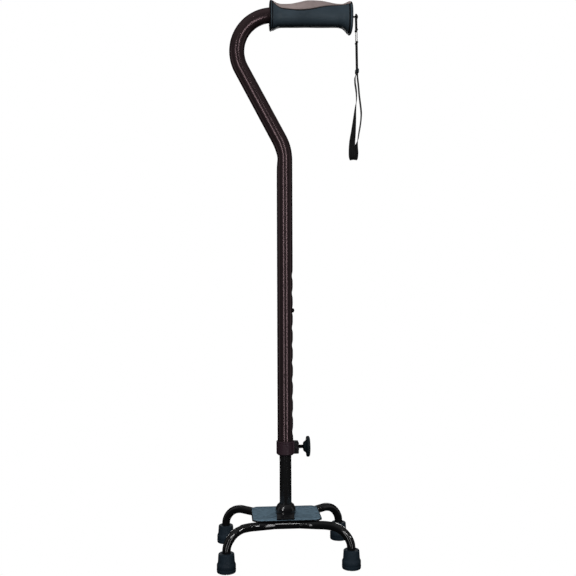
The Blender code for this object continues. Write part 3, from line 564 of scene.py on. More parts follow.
def plated_steel(name, base, roughness):
    """Plated or blackened steel with fine turning marks."""
    look = Finish(name, base, roughness, 1.0)
    marks = look.noise(3000.0, 2.0, 0.6, look.stretched(1.0, 0.15, 0.15))
    cloud = look.noise(260.0, 4.0)
    look.colour(look.ramp(cloud, (0.3, shade(base, 0.75)), (0.7, shade(base, 1.1))))
    look.roughness(look.scaled(marks, roughness - 0.08, roughness + 0.12, 0.3, 0.7))
    look.bump(marks, 0.000008)
    return look.material


TAPE_ENDS = 44  # the webbing's ribs round its section
TAPE_PICK = 0.0009  # the length of one pick of its weave


def woven_tape():
    """Black nylon webbing: a two-by-two weave over the strap's own width and length."""
    base = (0.0045, 0.0045, 0.005)
    look = Finish("woven_tape", base, 0.80, 0.0, Sheen_Weight=0.06, Sheen_Roughness=0.4)
    uv = look.node("UVMap")
    uv.uv_map = "surface"
    split = look.node("SeparateXYZ", Vector=uv.outputs["UV"])
    ends = look.math("MULTIPLY", split.outputs["X"], TAPE_ENDS * math.pi)
    picks = look.math("MULTIPLY", split.outputs["Y"], math.pi / TAPE_PICK)
    warp = look.math("ABSOLUTE", look.math("SINE", ends))
    slanted = look.math("ADD", picks, look.math("MULTIPLY", ends, 0.5))
    weft = look.math("ABSOLUTE", look.math("SINE", slanted))
    weave = look.math("MULTIPLY", warp, look.math("ADD", look.math("MULTIPLY", weft, 0.6), 0.4))
    fibre = look.noise(4200.0, 3.0, 0.7)
    look.colour(look.ramp(weave, (0.0, shade(base, 0.45)), (0.95, shade(base, 1.7))))
    look.roughness(look.scaled(fibre, 0.65, 0.9, 0.3, 0.7))
    look.bump(weave, 0.00012)
    look.bump(fibre, 0.00003)
    return look.material


# ---------------------------------------------------------------- shaft and handle

TUBE_RADIUS = high("handle_tube", "y")
TUBE_WALL = 0.0012
TUBE_FOOT = low("handle_tube", "z")
TUBE_END = high("handle_tube", "x")
GRIP_AXIS = middle("strap_screw").z
NECK_RADIUS = 0.0538
NECK_X = low("handle_tube", "x") + TUBE_RADIUS + NECK_RADIUS
SLOPE = math.radians(28.4)
LOWER_BEND_RADIUS = 0.0650
BEND_DENT = 0.0011  # how far the tube's wall sinks on the inside of its lower bend
BEND_DENT_LENGTH = 0.0110
BUTTON_Z = middle("snap_button").z
BUTTON_RADIUS = 0.0032
HOLE_PITCH = 0.0254
HOLE_COUNT = 10
HOLES_ABOVE_BUTTON = 2
HOLE_RADIUS = 0.0035
DIMPLE_DEPTH = 0.0019  # each hole is punched, which sinks the wall round it
DIMPLE_RADIUS = 0.0042
INNER_RADIUS = high("inner_tube", "y")


def pipe(name, route, radius, wall, sides, dent=None):
    """An open pipe with a real wall along a route. Dent moves a section's points."""
    outside = tube_rings(route, radius, sides)
    inside = tube_rings(route, radius - wall, sides)
    if dent:
        for rings in (outside, inside):
            for centre, ring in zip(route, rings):
                dent(Vector(centre), ring)
    return skin(name, outside + inside[::-1], closed=True)


def handle_route():
    """The handle tube's centreline, from its foot up and over to the grip's end."""
    neck = arc((NECK_X, GRIP_AXIS - NECK_RADIUS), NECK_RADIUS, math.pi + SLOPE, math.pi / 2, 60)
    foot_x, foot_z = neck[0]
    vertex_z = foot_z + foot_x / math.tan(SLOPE)
    tangent = LOWER_BEND_RADIUS * math.tan(SLOPE / 2)
    bend_low = vertex_z - tangent
    bend = arc((-LOWER_BEND_RADIUS, bend_low), LOWER_BEND_RADIUS, 0.0, SLOPE, 26)
    below = [(0.0, z) for z in np.linspace(bend_low - 0.030, bend_low - 0.001, 12)]
    around = np.linspace(-2.5 * DIMPLE_RADIUS, 2.5 * DIMPLE_RADIUS, 19)
    punched = [(0.0, hole + z) for hole in reversed(hole_heights()) for z in around]
    flat = [(0.0, TUBE_FOOT)] + punched + below + bend + neck + [(TUBE_END, GRIP_AXIS)]
    return [(x, 0.0, z) for x, z in flat], bend_low


def hole_heights():
    """The height holes, from the top down. They face the clamp knob's side."""
    top = BUTTON_Z + HOLES_ABOVE_BUTTON * HOLE_PITCH
    return [top - i * HOLE_PITCH for i in range(HOLE_COUNT)]


def make_handle_tube():
    """The outer tube: an offset neck, a lower bend that flattened a little, and punched holes."""
    route, bend_low = handle_route()
    dent_z = bend_low + 0.004
    film_first, film_last = COLLAR_TOP + 0.001, bend_low + 0.1

    def sink(centre, ring):
        share = math.exp(-(((centre.z - dent_z) / BEND_DENT_LENGTH) ** 2))
        hole_z = min(hole_heights(), key=lambda z: abs(z - centre.z))
        film = PAINT if film_first < centre.z < film_last else 0.0
        for point in ring:
            point += (point - centre).normalized() * film
            inward = max(0.0, (centre.x - point.x) / TUBE_RADIUS)
            point.x += BEND_DENT * share * inward**2
            if point.x > centre.x:
                spread = (point.y**2 + (point.z - hole_z) ** 2) / DIMPLE_RADIUS**2
                point.x -= DIMPLE_DEPTH * math.exp(-spread)

    tube = pipe("handle_tube_drawn", route, TUBE_RADIUS, TUBE_WALL, 72, sink)
    reach = (TUBE_RADIUS - 0.005, TUBE_RADIUS + CUT)
    holes = [cylinder_shape(HOLE_RADIUS, *reach, (0.0, z)) for z in hole_heights()]
    holes.append(cylinder_shape(SCREW_WAY, *reach, (0.0, CLAMP_Z)))
    cut(tube, joined("holes", holes))
    soften_edges(tube, 0.00035, 3)
    return finish_piece(tube, "handle", "bronze_tube", "handle_tube")


def make_inner_tube():
    top, foot = high("inner_tube", "z"), low("inner_tube", "z")
    bore = INNER_RADIUS - TUBE_WALL
    profile = ((INNER_RADIUS, top), (INNER_RADIUS, foot), (bore, foot), (bore, top))
    tube = turned("inner_tube_drawn", profile, sides=72, closed=True)
    cut(tube, cylinder_shape(HOLE_RADIUS, 0.004, 0.010, (0.0, BUTTON_Z)))
    soften_edges(tube, 0.0003)
    return finish_piece(tube, "base", "black_tube", "inner_tube")


def make_button():
    """The snap button: a domed pin with a flange inside the tube."""
    tip, back = high("snap_button", "x"), low("snap_button", "x")
    flange = high("snap_button", "y")
    flange_front = back + 0.0012
    rise = 0.0021
    turns = np.linspace(math.pi / 2, 0.0, 12)
    dome = [(BUTTON_RADIUS * math.cos(t), tip - rise + rise * math.sin(t)) for t in turns]
    profile = dome + [(BUTTON_RADIUS, flange_front), (flange, flange_front), (flange, back)]
    profile.append((0.0, back))
    button = turned("snap_button_pin", profile, (0.0, 0.0, BUTTON_Z), "X", 40)
    return finish_piece(button, "button", "black_oxide", "snap_button")


# ---------------------------------------------------------------- collar and clamp

COLLAR_RADIUS = -low("collar", "x")
COLLAR_TOP = high("collar", "z")
COLLAR_FOOT = low("collar", "z")
BOSS_FACE = high("collar", "x")
BOSS_HALF = 0.0078
CLAMP_Z = middle("clamp_knob").z
SCREW_RADIUS = high("clamp_screw", "y")
SCREW_WAY = 0.0032  # the radius of the hole that the clamp screw goes through
THREAD_PITCH = 0.0010
THREAD_DEPTH = 0.00055
KNOB_RADIUS = high("clamp_knob", "y")
KNOB_BACK = low("clamp_knob", "x")
KNOB_FRONT = high("clamp_knob", "x")
KNOB_HUB = 0.0075
KNOB_LOBES = 18


def make_collar():
    """The sleeve with its boss, a raised rim round the screw and a relief line at its top."""
    relief = ((0.0, -0.0022), (-0.0003, -0.0025), (-0.0003, -0.0029), (0.0, -0.0032))
    shell = [
        (0.0, COLLAR_TOP),
        *near((COLLAR_RADIUS, COLLAR_TOP), (-0.0006, 0.0), (0.0, -0.0006), *relief),
        *near((COLLAR_RADIUS, COLLAR_FOOT), (0.0, 0.0020), (-0.0020, 0.0)),
        (0.0, COLLAR_FOOT),
    ]
    collar = turned("collar_moulded", shell)
    boss_low = (0.0060, -BOSS_HALF, COLLAR_FOOT + 0.0020)
    boss_high = (BOSS_FACE - 0.0005, BOSS_HALF, COLLAR_TOP - 0.0010)
    cut(collar, box_shape(boss_low, boss_high, 0.0014, 5), "UNION")
    rim = cylinder_shape(0.0052, BOSS_FACE - 0.0030, BOSS_FACE, (0.0, CLAMP_Z))
    cut(collar, rim, "UNION")
    bore = TUBE_RADIUS + FIT
    foot_bore = INNER_RADIUS + 2 * FIT
    step = COLLAR_FOOT + 0.0015
    socket = (
        (0.0, COLLAR_TOP + CUT),
        (bore, COLLAR_TOP + CUT),
        (bore, step),
        (foot_bore, step),
        (foot_bore, COLLAR_FOOT - CUT),
        (0.0, COLLAR_FOOT - CUT),
    )
    cut(collar, turned("socket", socket))
    nut_end = high("clamp_nut", "x") + FIT
    pocket = cylinder_shape(high("clamp_nut", "y") + FIT, 0.0080, nut_end, (0.0, CLAMP_Z))
    cut(collar, pocket)
    way = cylinder_shape(SCREW_WAY, 0.0100, BOSS_FACE + CUT, (0.0, CLAMP_Z))
    cut(collar, way)
    soften_edges(collar, 0.0003, 3)
    return finish_piece(collar, "handle", "bronze_tube", "collar", look="collar")


def make_clamp_screw():
    """The clamp screw, with its thread cut as one real helix."""
    first, last = low("clamp_screw", "x"), high("clamp_screw", "x")
    lead_in = 0.0008
    places = np.linspace(last, first, 230)
    profile = [(0.0, last)] + [(SCREW_RADIUS, x) for x in places] + [(0.0, first)]

    def helix(radius, x, turn):
        if radius == 0.0:
            return 0.0
        phase = (x / THREAD_PITCH - turn / (2 * math.pi)) % 1.0
        fade = min(1.0, (x - first) / lead_in, (last - x) / lead_in)
        return radius - THREAD_DEPTH * (1.0 - fade * (1.0 - abs(2.0 * phase - 1.0)))

    screw = turned("clamp_screw_threaded", profile, (0.0, 0.0, CLAMP_Z), "X", 48, helix)
    return finish_piece(screw, "clamp", "black_oxide", "clamp_screw")


def make_clamp_knob():
    """The moulded knob: a hub that flares into a disc with a scalloped edge."""
    disc_back = KNOB_FRONT - 0.0052
    socket_end = high("clamp_screw", "x") + FIT
    hole = SCREW_RADIUS + FIT
    face = ((0.0036, -0.0010), (0.0042, -0.0003), (0.0080, 0.0), (0.0110, -0.0001))
    front_edge = ((-0.0018, -0.0003), (-0.0006, -0.0008), (0.0, -0.0017))
    back_edge = ((0.0, 0.0012), (-0.0004, 0.0005), (-0.0012, 0.0001))
    outline = [
        *near((0.0, KNOB_FRONT), (0.0, -0.0010), *face),
        *near((KNOB_RADIUS, KNOB_FRONT), *front_edge),
        *near((KNOB_RADIUS, disc_back), *back_edge),
        *near((0.0, disc_back), (0.0110, 0.0), (0.0096, -0.0004), (0.0086, -0.0014)),
        *near((KNOB_HUB, KNOB_BACK), (0.0, 0.0016), (-0.0008, 0.0006), (-0.0020, 0.0)),
        *near((hole, KNOB_BACK), (0.0004, 0.0), (0.0, 0.0004)),
        (hole, socket_end),
        (0.0, socket_end),
    ]

    def scallop(radius, _, turn):
        edge = max(0.0, (radius - 0.0116) / (KNOB_RADIUS - 0.0116))
        return radius - 0.0007 * edge * (0.5 - 0.5 * math.cos(KNOB_LOBES * turn)) ** 2

    knob = turned("clamp_knob_moulded", outline, (0.0, 0.0, CLAMP_Z), "X", 216, scallop)
    return finish_piece(knob, "clamp", "knob_plastic", "clamp_knob")


# ---------------------------------------------------------------- grip

# Outline stations along the grip as (x, top, bottom, half width), about the tube's axis.
GRIP_STATIONS = (
    (-0.0214, 0.0202, -0.0216, 0.0188),
    (-0.0202, 0.0209, -0.0225, 0.0194),
    (-0.0176, 0.0202, -0.0222, 0.0189),
    (-0.0135, 0.0175, -0.0202, 0.0168),
    (-0.0080, 0.0156, -0.0178, 0.0151),
    (0.0010, 0.0151, -0.0170, 0.0145),
    (0.0110, 0.0159, -0.0168, 0.0144),
    (0.0225, 0.0185, -0.0165, 0.0147),
    (0.0330, 0.0210, -0.0161, 0.0151),
    (0.0440, 0.0214, -0.0160, 0.0153),
    (0.0560, 0.0209, -0.0159, 0.0150),
    (0.0660, 0.0191, -0.0157, 0.0145),
    (0.0740, 0.0176, -0.0155, 0.0143),
    (0.0810, 0.0170, -0.0157, 0.0145),
    (0.0870, 0.0173, -0.0175, 0.0153),
    (0.0915, 0.0191, -0.0214, 0.0172),
    (0.0955, 0.0210, -0.0260, 0.0188),
    (0.0985, 0.0209, -0.0259, 0.0193),
    (0.1000, 0.0199, -0.0240, 0.0187),
)
GRIP_FIRST = GRIP_STATIONS[0][0]
GRIP_LAST = GRIP_STATIONS[-1][0]
GRIP_SQUARENESS = 0.86
END_ROUNDING = 0.0014
FLANGE_GROOVES = (GRIP_FIRST + 0.0038, GRIP_LAST - 0.0050)
# Painted shade lines round the grip, as (place along X, half width): both grooves and both ends'
# corners.
GRIP_SHADE_LINES = (
    (FLANGE_GROOVES[0], 0.0008),
    (FLANGE_GROOVES[1], 0.0012),
    (GRIP_FIRST, 0.0014),
    (GRIP_LAST, 0.0014),
)
GROOVE_HALF_WIDTH = 0.0008
GROOVE_DEPTH = 0.0010
# How high the inlay's lower edge runs along the grip, about the tube's axis.
INLAY_EDGE = (
    (-0.0165, 0.0152),
    (-0.0125, 0.0115),
    (-0.0080, 0.0086),
    (0.0080, 0.0056),
    (0.0240, 0.0049),
    (0.0400, 0.0066),
    (0.0540, 0.0101),
    (0.0690, 0.0129),
    (0.0840, 0.0146),
    (0.0970, 0.0158),
)
INLAY_FIRST = INLAY_EDGE[0][0]
INLAY_LAST = INLAY_EDGE[-1][0]
INLAY_DEPTH = 0.0026
INLAY_GAP = 0.0020
INLAY_ROUNDING = 0.0009


def quarter_round(distance, radius):
    """How far a rounded edge has dropped at a distance from it."""
    inside = max(0.0, radius - max(0.0, distance))
    return radius - math.sqrt(max(0.0, radius**2 - inside**2))


def grip_point(x, angle, inset):
    """A point on the grip's skin, inset towards the tube's axis. Angle 0 is +Y."""
    top, bottom, half_width = hermite(GRIP_STATIONS, x)
    across, up = math.cos(angle), math.sin(angle)
    y = half_width * math.copysign(abs(across) ** GRIP_SQUARENESS, across)
    z = (top if up > 0 else -bottom) * math.copysign(abs(up) ** GRIP_SQUARENESS, up)
    reach = math.hypot(y, z)
    keep = (reach - inset + PAINT) / reach
    return (x, y * keep, GRIP_AXIS + z * keep)


def grip_inset(x):
    """Rounded ends, and a shallow groove behind each flange's lip."""
    ends = quarter_round(min(x - GRIP_FIRST, GRIP_LAST - x), END_ROUNDING)
    grooves = sum(math.exp(-(((x - place) / GROOVE_HALF_WIDTH) ** 2)) for place in FLANGE_GROOVES)
    return ends + GROOVE_DEPTH * grooves


def grip_places(first, last, count, details):
    """Places along X: even ones, and closer ones round each detail."""
    places = list(np.linspace(first, last, count))
    for point in details:
        places += list(np.linspace(point - 0.0018, point + 0.0018, 13))
    return [x for x in sorted(places) if first <= x <= last]


def inlay_corner(x, margin):
    """The angle at which the inlay's lower edge, or a line a margin below it, lies on the grip."""
    top = hermite(GRIP_STATIONS, x)[0]
    edge = hermite(INLAY_EDGE, x)[0] - margin
    return math.asin(min((edge / top) ** (1 / GRIP_SQUARENESS), 0.97))


def inlay_ring(x, lift, inner_inset, margin, round_edges=True):
    """The inlay's section at x: out along its skin and back along its floor."""
    first = inlay_corner(x, margin)
    shares = 0.5 - 0.5 * np.cos(np.linspace(0.0, math.pi, 40))
    angles = first + shares * (math.pi - 2 * first)
    girth = (math.pi - 2 * first) * hermite(GRIP_STATIONS, x)[0]
    end = quarter_round(min(x - INLAY_FIRST, INLAY_LAST - x), INLAY_ROUNDING)
    surface = []
    for share, angle in zip(shares, angles):
        drop = 0.0
        if round_edges:
            drop = max(end, quarter_round(min(share, 1 - share) * girth, INLAY_ROUNDING))
        surface.append(grip_point(x, angle, drop - lift))
    return surface + [grip_point(x, a, inner_inset) for a in angles[::-1]]


def make_grip():
    """The moulded grip: flanged ends with lips, a bed for the inlay and a bore for the tube."""
    around = np.linspace(0, 2 * math.pi, 112, endpoint=False)
    places = grip_places(GRIP_FIRST, GRIP_LAST, 80, (GRIP_FIRST, *FLANGE_GROOVES, GRIP_LAST))
    rings = [[grip_point(x, a, grip_inset(x)) for a in around] for x in places]
    grip = skin("grip_moulded", rings)
    bed = [
        inlay_ring(x, 0.004, INLAY_DEPTH + FIT, INLAY_GAP, False)
        for x in np.linspace(INLAY_FIRST, INLAY_LAST, 70)
    ]
    bed[0] = [(INLAY_FIRST - INLAY_GAP, y, z) for _, y, z in bed[0]]
    bed[-1] = [(INLAY_LAST + INLAY_GAP, y, z) for _, y, z in bed[-1]]
    cut(grip, skin("bed", bed))
    bore = (GRIP_FIRST - CUT, TUBE_END + FIT)
    cut(grip, cylinder_shape(TUBE_RADIUS + 2 * FIT, *bore, (0.0, GRIP_AXIS), sides=72))
    outlet = cylinder_shape(0.0016, TUBE_END - CUT, GRIP_LAST + CUT, (0.0, GRIP_AXIS))
    cut(grip, outlet)
    soften_edges(grip, 0.0003, 2, 40)
    return finish_piece(grip, "handle", "grip_rubber", "grip_body")


def make_inlay():
    """The soft palm pad: it stands a little proud, and its edges are rounded."""
    places = grip_places(INLAY_FIRST, INLAY_LAST, 90, (INLAY_FIRST, INLAY_LAST))
    rings = [inlay_ring(x, 0.00025, INLAY_DEPTH, 0.0) for x in places]
    inlay = skin("palm_inlay", rings, sharp=50)
    return finish_piece(inlay, "handle", "inlay_rubber", "grip_inlay")


def make_groove_bead():
    """A near-black bead set in the gap between the grip and its inlay: painted shade at the
    groove's bottom.
    """
    bead = 0.00098
    margin = INLAY_GAP / 2
    first, last = INLAY_FIRST - margin, INLAY_LAST + margin
    places = np.linspace(first, last, 120)
    start, end = inlay_corner(first, margin), inlay_corner(last, margin)
    route = [(x, math.pi - inlay_corner(x, margin)) for x in places]
    route += [(last, angle) for angle in np.linspace(math.pi - end, end, 30)[1:-1]]
    route += [(x, inlay_corner(x, margin)) for x in places[::-1]]
    route += [(first, angle) for angle in np.linspace(start, math.pi - start, 30)[1:]]
    rings = tube_rings([grip_point(x, angle, 0.00105) for x, angle in route], bead, 12)
    piece = skin("inlay_groove_bead", rings, sharp=80)
    return finish_piece(piece, "handle", "grip_rubber", look="groove_painted_shade")


# ---------------------------------------------------------------- base

FOOT_X = middle("tip_front_right").x
FOOT_Y = -middle("tip_front_right").y
BAR_RADIUS = high("front_leg_bar", "x") - FOOT_X
BAR_WALL = 0.0013
BAR_END = low("front_leg_bar", "z")
BAR_Y = 0.0290
PLATE_TOP = high("base_plate", "z")
PLATE_FOOT = low("base_plate", "z")
PLATE_HALF_X = high("base_plate", "x")
PLATE_HALF_Y = high("base_plate", "y")
PLATE_CORNER = 0.0070
SHEET_THICKNESS = 0.0005
SHEET_BORDER = 0.0013
BAR_Z = PLATE_FOOT - FIT - BAR_RADIUS
HUB_RADIUS = high("hub_socket", "x")
HUB_TOP = high("hub_socket", "z")
HUB_FOOT = low("hub_socket", "z")
HUB_FLANGE_THICKNESS = 0.0030
HUB_FLANGE_HALF = 0.0128
HUB_BULGE = 0.0009  # how far the socket's barrel stands out over its foot
HUB_SLANT = math.tan(math.radians(4.4))  # the flange's long sides aren't square to the plate
BOLT_WAY = 0.0034


def bar_route(side):
    """A leg bar's centreline, foot to foot. Side is -1 for the front bar and 1 for the back."""
    half = (
        (0.0180, BAR_Y, BAR_Z),
        (0.0400, BAR_Y + 0.0050, BAR_Z),
        (0.0560, BAR_Y + 0.0135, BAR_Z + 0.0014),
        (0.0670, BAR_Y + 0.0215, BAR_Z + 0.0012),
        (0.0760, BAR_Y + 0.0280, BAR_Z - 0.0027),
        (0.0825, BAR_Y + 0.0320, BAR_Z - 0.0095),
        (0.0863, BAR_Y + 0.0337, BAR_Z - 0.0175),
        (FOOT_X, FOOT_Y, BAR_Z - 0.0265),
    )
    right = [tuple(p) for p in smooth_route(half, 90)] + [(FOOT_X, FOOT_Y, BAR_END)]
    left = [(-x, y, z) for x, y, z in reversed(right)]
    return [(x, side * y, z) for x, y, z in left + right]


def make_leg_bar(node, name, side):
    """A bent bar, with a film of paint down to its tips."""
    tip_top = high("tip_front_left", "z")

    def paint(centre, ring):
        share = min(1.0, max(0.0, (centre.z - tip_top - 0.0005) / 0.0015))
        for point in ring:
            point += (point - centre).normalized() * PAINT * share
            point.z -= PAINT * share

    bar = pipe(name, bar_route(side), BAR_RADIUS, BAR_WALL, 48, paint)
    return finish_piece(bar, "base", "black_steel", node)


def make_weld_beads():
    """Rippled beads that join both bars to the plate's underside."""
    ripple = 0.0011
    bead = 0.0011
    half_length = 0.0165
    turns = np.linspace(0, 2 * math.pi, 14, endpoint=False)
    shapes = []
    for side, flank in ((-1, -1), (-1, 1), (1, -1), (1, 1)):
        rings = []
        for x in np.linspace(-half_length, half_length, 150):
            end = math.sqrt(max(0.0, 1 - (x / half_length) ** 8))
            r = bead * (0.25 + 0.75 * end) * (1 + 0.13 * abs(math.sin(math.pi * x / ripple)))
            y = side * BAR_Y + flank * 0.0041 + 0.00012 * math.sin(900 * x + side)
            centre = Vector((x, y, PLATE_FOOT - FIT - 0.0007))
            section = [(r * 1.3 * math.cos(t), 0.7 * r * math.sin(t)) for t in turns]
            rings.append([centre + Vector((0.0, out, up)) for out, up in section])
        shapes.append(lofted(rings))
    return finish_piece(joined("weld_beads", shapes), "base", "black_steel")


def make_plate():
    """The steel plate under the hub, and the tread sheet bonded on top of it, whose slate blue is a
    painted reflection.
    """
    long_x, long_y = PLATE_HALF_X - PLATE_CORNER, PLATE_HALF_Y - PLATE_CORNER
    right = [(long_x, -PLATE_HALF_Y), (PLATE_HALF_X, -long_y)]
    right += [(x, -y) for x, y in reversed(right)]
    corners = right + [(-x, y) for x, y in reversed(right)]
    outline = [p[:2] for p in rounded([(x, y, 0.0) for x, y in corners], 0.004, 6)]
    hole = arc((0.0, 0.0), HUB_RADIUS + FIT, 0.0, 2 * math.pi, 64)[:-1]
    sheet_foot = PLATE_TOP - SHEET_THICKNESS
    steel = filled("base_plate_steel", (outline, hole), PLATE_FOOT, sheet_foot - 0.00005)
    soften_edges(steel, 0.0005, 3)
    finish_piece(steel, "base", "black_steel", "base_plate")
    shrink_x = (PLATE_HALF_X - SHEET_BORDER) / PLATE_HALF_X
    shrink_y = (PLATE_HALF_Y - SHEET_BORDER) / PLATE_HALF_Y
    inner = [(x * shrink_x, y * shrink_y) for x, y in outline]
    sheet = filled("base_plate_tread", (inner, hole), sheet_foot, PLATE_TOP)
    soften_edges(sheet, 0.00018, 2)
    finish_piece(sheet, "base", "slate_steel")


def make_hub():
    """The socket for the inner tube, with a saddle flange across the plate."""
    barrel = HUB_RADIUS + HUB_BULGE
    slope = ((-0.0020, -0.0025), (-0.0008, -0.0040), (0.0002, -0.0060), (0.0007, -0.0080))
    outside = [
        (0.0, HUB_TOP),
        *near((INNER_RADIUS, HUB_TOP), (0.0011, 0.0), (0.0017, -0.0004)),
        *near((HUB_RADIUS, HUB_TOP), *slope),
        (barrel, HUB_TOP - 0.0100),
        (barrel, PLATE_TOP + FIT),
        (HUB_RADIUS, PLATE_TOP + FIT),
        *near((HUB_RADIUS, HUB_FOOT), (0.0, 0.0010), (-0.0010, 0.0)),
        (0.0, HUB_FOOT),
    ]
    hub = turned("hub_cast", outside)
    flange_foot = PLATE_TOP + FIT + 0.00003
    flange_low = (-HUB_FLANGE_HALF, -PLATE_HALF_Y, flange_foot)
    flange_high = (HUB_FLANGE_HALF, PLATE_HALF_Y, flange_foot + HUB_FLANGE_THICKNESS)
    flange = box_shape(flange_low, flange_high, 0.0011, 4)
    for vertex in flange.verts:
        vertex.co.x += vertex.co.y * HUB_SLANT
    cut(hub, flange, "UNION")
    floor = low("inner_tube", "z") - FIT
    bore = cylinder_shape(INNER_RADIUS + FIT, floor, HUB_TOP + CUT, axis="Z", sides=72)
    cut(hub, bore)
    way = cylinder_shape(BOLT_WAY, HUB_FOOT - CUT, floor + CUT, axis="Z")
    cut(hub, way)
    soften_edges(hub, 0.0004, 3)
    return finish_piece(hub, "base", "black_steel", "hub_socket", look="hub_steel")


def make_hub_bolt():
    """The hexagon bolt and its washer, under the hub."""
    top = high("hub_bolt", "z")
    head_foot = low("hub_bolt", "z")
    head_top = low("hub_washer", "z") - FIT
    shank = 0.0030
    head = 0.0055
    hexagon = cylinder_shape(head, head_foot, head_top, axis="Z", sides=6)
    bolt = object_of("hub_bolt_hexagon", hexagon)
    soften_edges(bolt, 0.00025, 3)
    under, above = head_foot - CUT / 2, head_top + CUT
    dome = [(0.0, under), (head * 0.86, under), (head * 1.05, head_foot + 0.0012)]
    dome += [(head * 1.05, above), (0.0, above)]
    cut(bolt, turned("dome", dome), "INTERSECT")
    core = cylinder_shape(shank, head_top - CUT, top, axis="Z")
    cut(bolt, core, "UNION")
    finish_piece(bolt, "base", "zinc_steel", "hub_bolt")
    washer_foot, washer_top = low("hub_washer", "z"), high("hub_washer", "z")
    edge = high("hub_washer", "x")
    ease = 0.0003
    profile = [
        *near((edge, washer_top), (-ease, 0.0), (0.0, -ease)),
        *near((edge, washer_foot), (0.0, ease), (-ease, 0.0)),
        (BOLT_WAY, washer_foot),
        (BOLT_WAY, washer_top),
    ]
    washer = turned("hub_washer_turned", profile, closed=True)
    finish_piece(washer, "base", "zinc_steel", "hub_washer")


def make_tip_mesh():
    """A rubber tip about its own axis: shoulder, stepped skirt with a rib, and a grooved sole."""
    height = high("tip_front_left", "z")
    skirt = (high("tip_front_left", "x") - low("tip_front_left", "x")) / 2 + PAINT
    shoulder = 0.0107 + PAINT
    waist = 0.0115 + PAINT
    step = 0.0112
    hole = BAR_RADIUS + FIT
    washer_hole = high("tip_washer_front_left", "x") - middle("tip_washer_front_left").x + FIT
    floor = low("tip_washer_front_left", "z") - FIT
    round_by = 0.0016
    profile = [(hole, height - 0.0005), (hole + 0.0005, height)]
    profile += arc((shoulder - round_by, height - round_by), round_by, math.pi / 2, 0.0, 6)
    rib = ((-0.0003, 0.0049), (0.0002, 0.0045), (0.0002, 0.0037), (0.0, 0.0033))
    profile += [
        *near((waist, step), (-0.0002, 0.0036), (0.0, 0.0026), (0.0005, 0.0012)),
        *near((skirt, step), (-0.0003, 0.0005), (0.0, -0.0003)),
        *near((skirt, 0.0), (0.0, 0.0058), (-0.0003, 0.0054), *rib),
        *near((skirt, 0.0), (0.0, 0.0012), (-0.0004, 0.0003), (-0.0012, 0.0)),
    ]
    groove = 0.0011
    for edge in (0.0098, 0.0070, 0.0042):
        walls = ((0.0, 0.0), (-0.0002, groove), (-0.0009, groove), (-0.0011, 0.0))
        profile += near((edge, 0.0), *walls)
    profile += [(0.0, 0.0), (0.0, floor), (washer_hole, floor)]
    profile += [(washer_hole, BAR_END), (hole, BAR_END)]
    tip = turned("tip", profile, sides=80, closed=True, sharp=42)
    for i in range(4):
        sipe = box_shape((-0.02, -0.0004, -CUT), (0.02, 0.0004, groove * 0.8))
        bmesh.ops.rotate(sipe, matrix=Matrix.Rotation(i * math.pi / 4, 3, "Z"), verts=sipe.verts)
        cut(tip, sipe)
    return tip


def make_tips():
    pattern = make_tip_mesh()
    for i, place in enumerate(("front_left", "front_right", "back_left", "back_right")):
        node = "tip_" + place
        mesh = pattern.data.copy()
        centre = middle(node)
        turn = Matrix.Rotation(0.4 * i, 4, "Z")
        mesh.transform(Matrix.Translation((centre.x, centre.y, 0.0)) @ turn)
        tip = bpy.data.objects.new("rubber_" + node, mesh)
        bpy.context.scene.collection.objects.link(tip)
        finish_piece(tip, "base", "tip_rubber", node)
    bpy.data.objects.remove(pattern)


# ---------------------------------------------------------------- pieces

LOOKS = {
    "bronze_tube": bronze_paint(),
    "black_tube": black_paint("black_tube_paint", (0.0085, 0.0085, 0.0090), 0.24, 0.000006),
    "black_steel": black_paint("black_powder_coat", (0.0035, 0.0035, 0.004), 0.12, 0.000002),
    "hub_steel": black_paint("black_hub_paint", (0.005, 0.005, 0.006), 0.16, 0.000002),
    "collar": collar_paint(),
    "slate_steel": slate_reflection_sheet(),
    "grip_rubber": moulded_rubber(
        "grip_rubber", (0.031, 0.045, 0.057), 0.40, 1900.0, 0.00004, GRIP_SHADE_LINES
    ),
    # Near-black rubber for the groove bead: painted shade in the groove between grip and inlay.
    "groove_painted_shade": moulded_rubber("groove_painted_shade", (0.004, 0.004, 0.005), 0.6, 1900.0, 0.00003),
    "inlay_rubber": moulded_rubber("inlay_rubber", (0.262, 0.210, 0.203), 0.55, 1500.0, 0.00005),
    "tip_rubber": moulded_rubber("tip_rubber", (0.011, 0.019, 0.028), 0.55, 1700.0, 0.00005),
    "knob_plastic": moulded_plastic("knob_plastic", (0.003, 0.007, 0.010), 0.6),
    "nylon": moulded_plastic("nylon", (0.03, 0.03, 0.03), 0.5),
    "zinc_steel": plated_steel("zinc_steel", (0.62, 0.62, 0.60), 0.28),
    "black_oxide": plated_steel("black_oxide", (0.035, 0.035, 0.038), 0.34),
    "brass": plated_steel("brass", (0.72, 0.52, 0.22), 0.3),
    "webbing": woven_tape(),
}

# Inner nodes that keep the model's own shape, by their material.
KEPT = {
    "nylon": ("glide_cap", "collar_bush", "clamp_pad", "end_plug"),
    "brass": ("clamp_nut",),
    "zinc_steel": (
        "button_spring",
        "tube_insert",
        "tip_washer_front_left",
        "tip_washer_front_right",
        "tip_washer_back_left",
        "tip_washer_back_right",
    ),
}


def finish_kept_nodes():
    for look, names in KEPT.items():
        for name in names:
            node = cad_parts[name]
            for holder in node.material_slots:
                holder.material = LOOKS[look]


make_handle_tube()
make_inner_tube()
make_button()
make_collar()
make_clamp_screw()
make_clamp_knob()
make_grip()
make_inlay()
make_groove_bead()
make_leg_bar("front_leg_bar", "leg_bar_front", -1)
make_leg_bar("back_leg_bar", "leg_bar_back", 1)
make_weld_beads()
make_plate()
make_hub()
make_hub_bolt()
make_tips()
finish_kept_nodes()

# ---------------------------------------------------------------- wrist strap

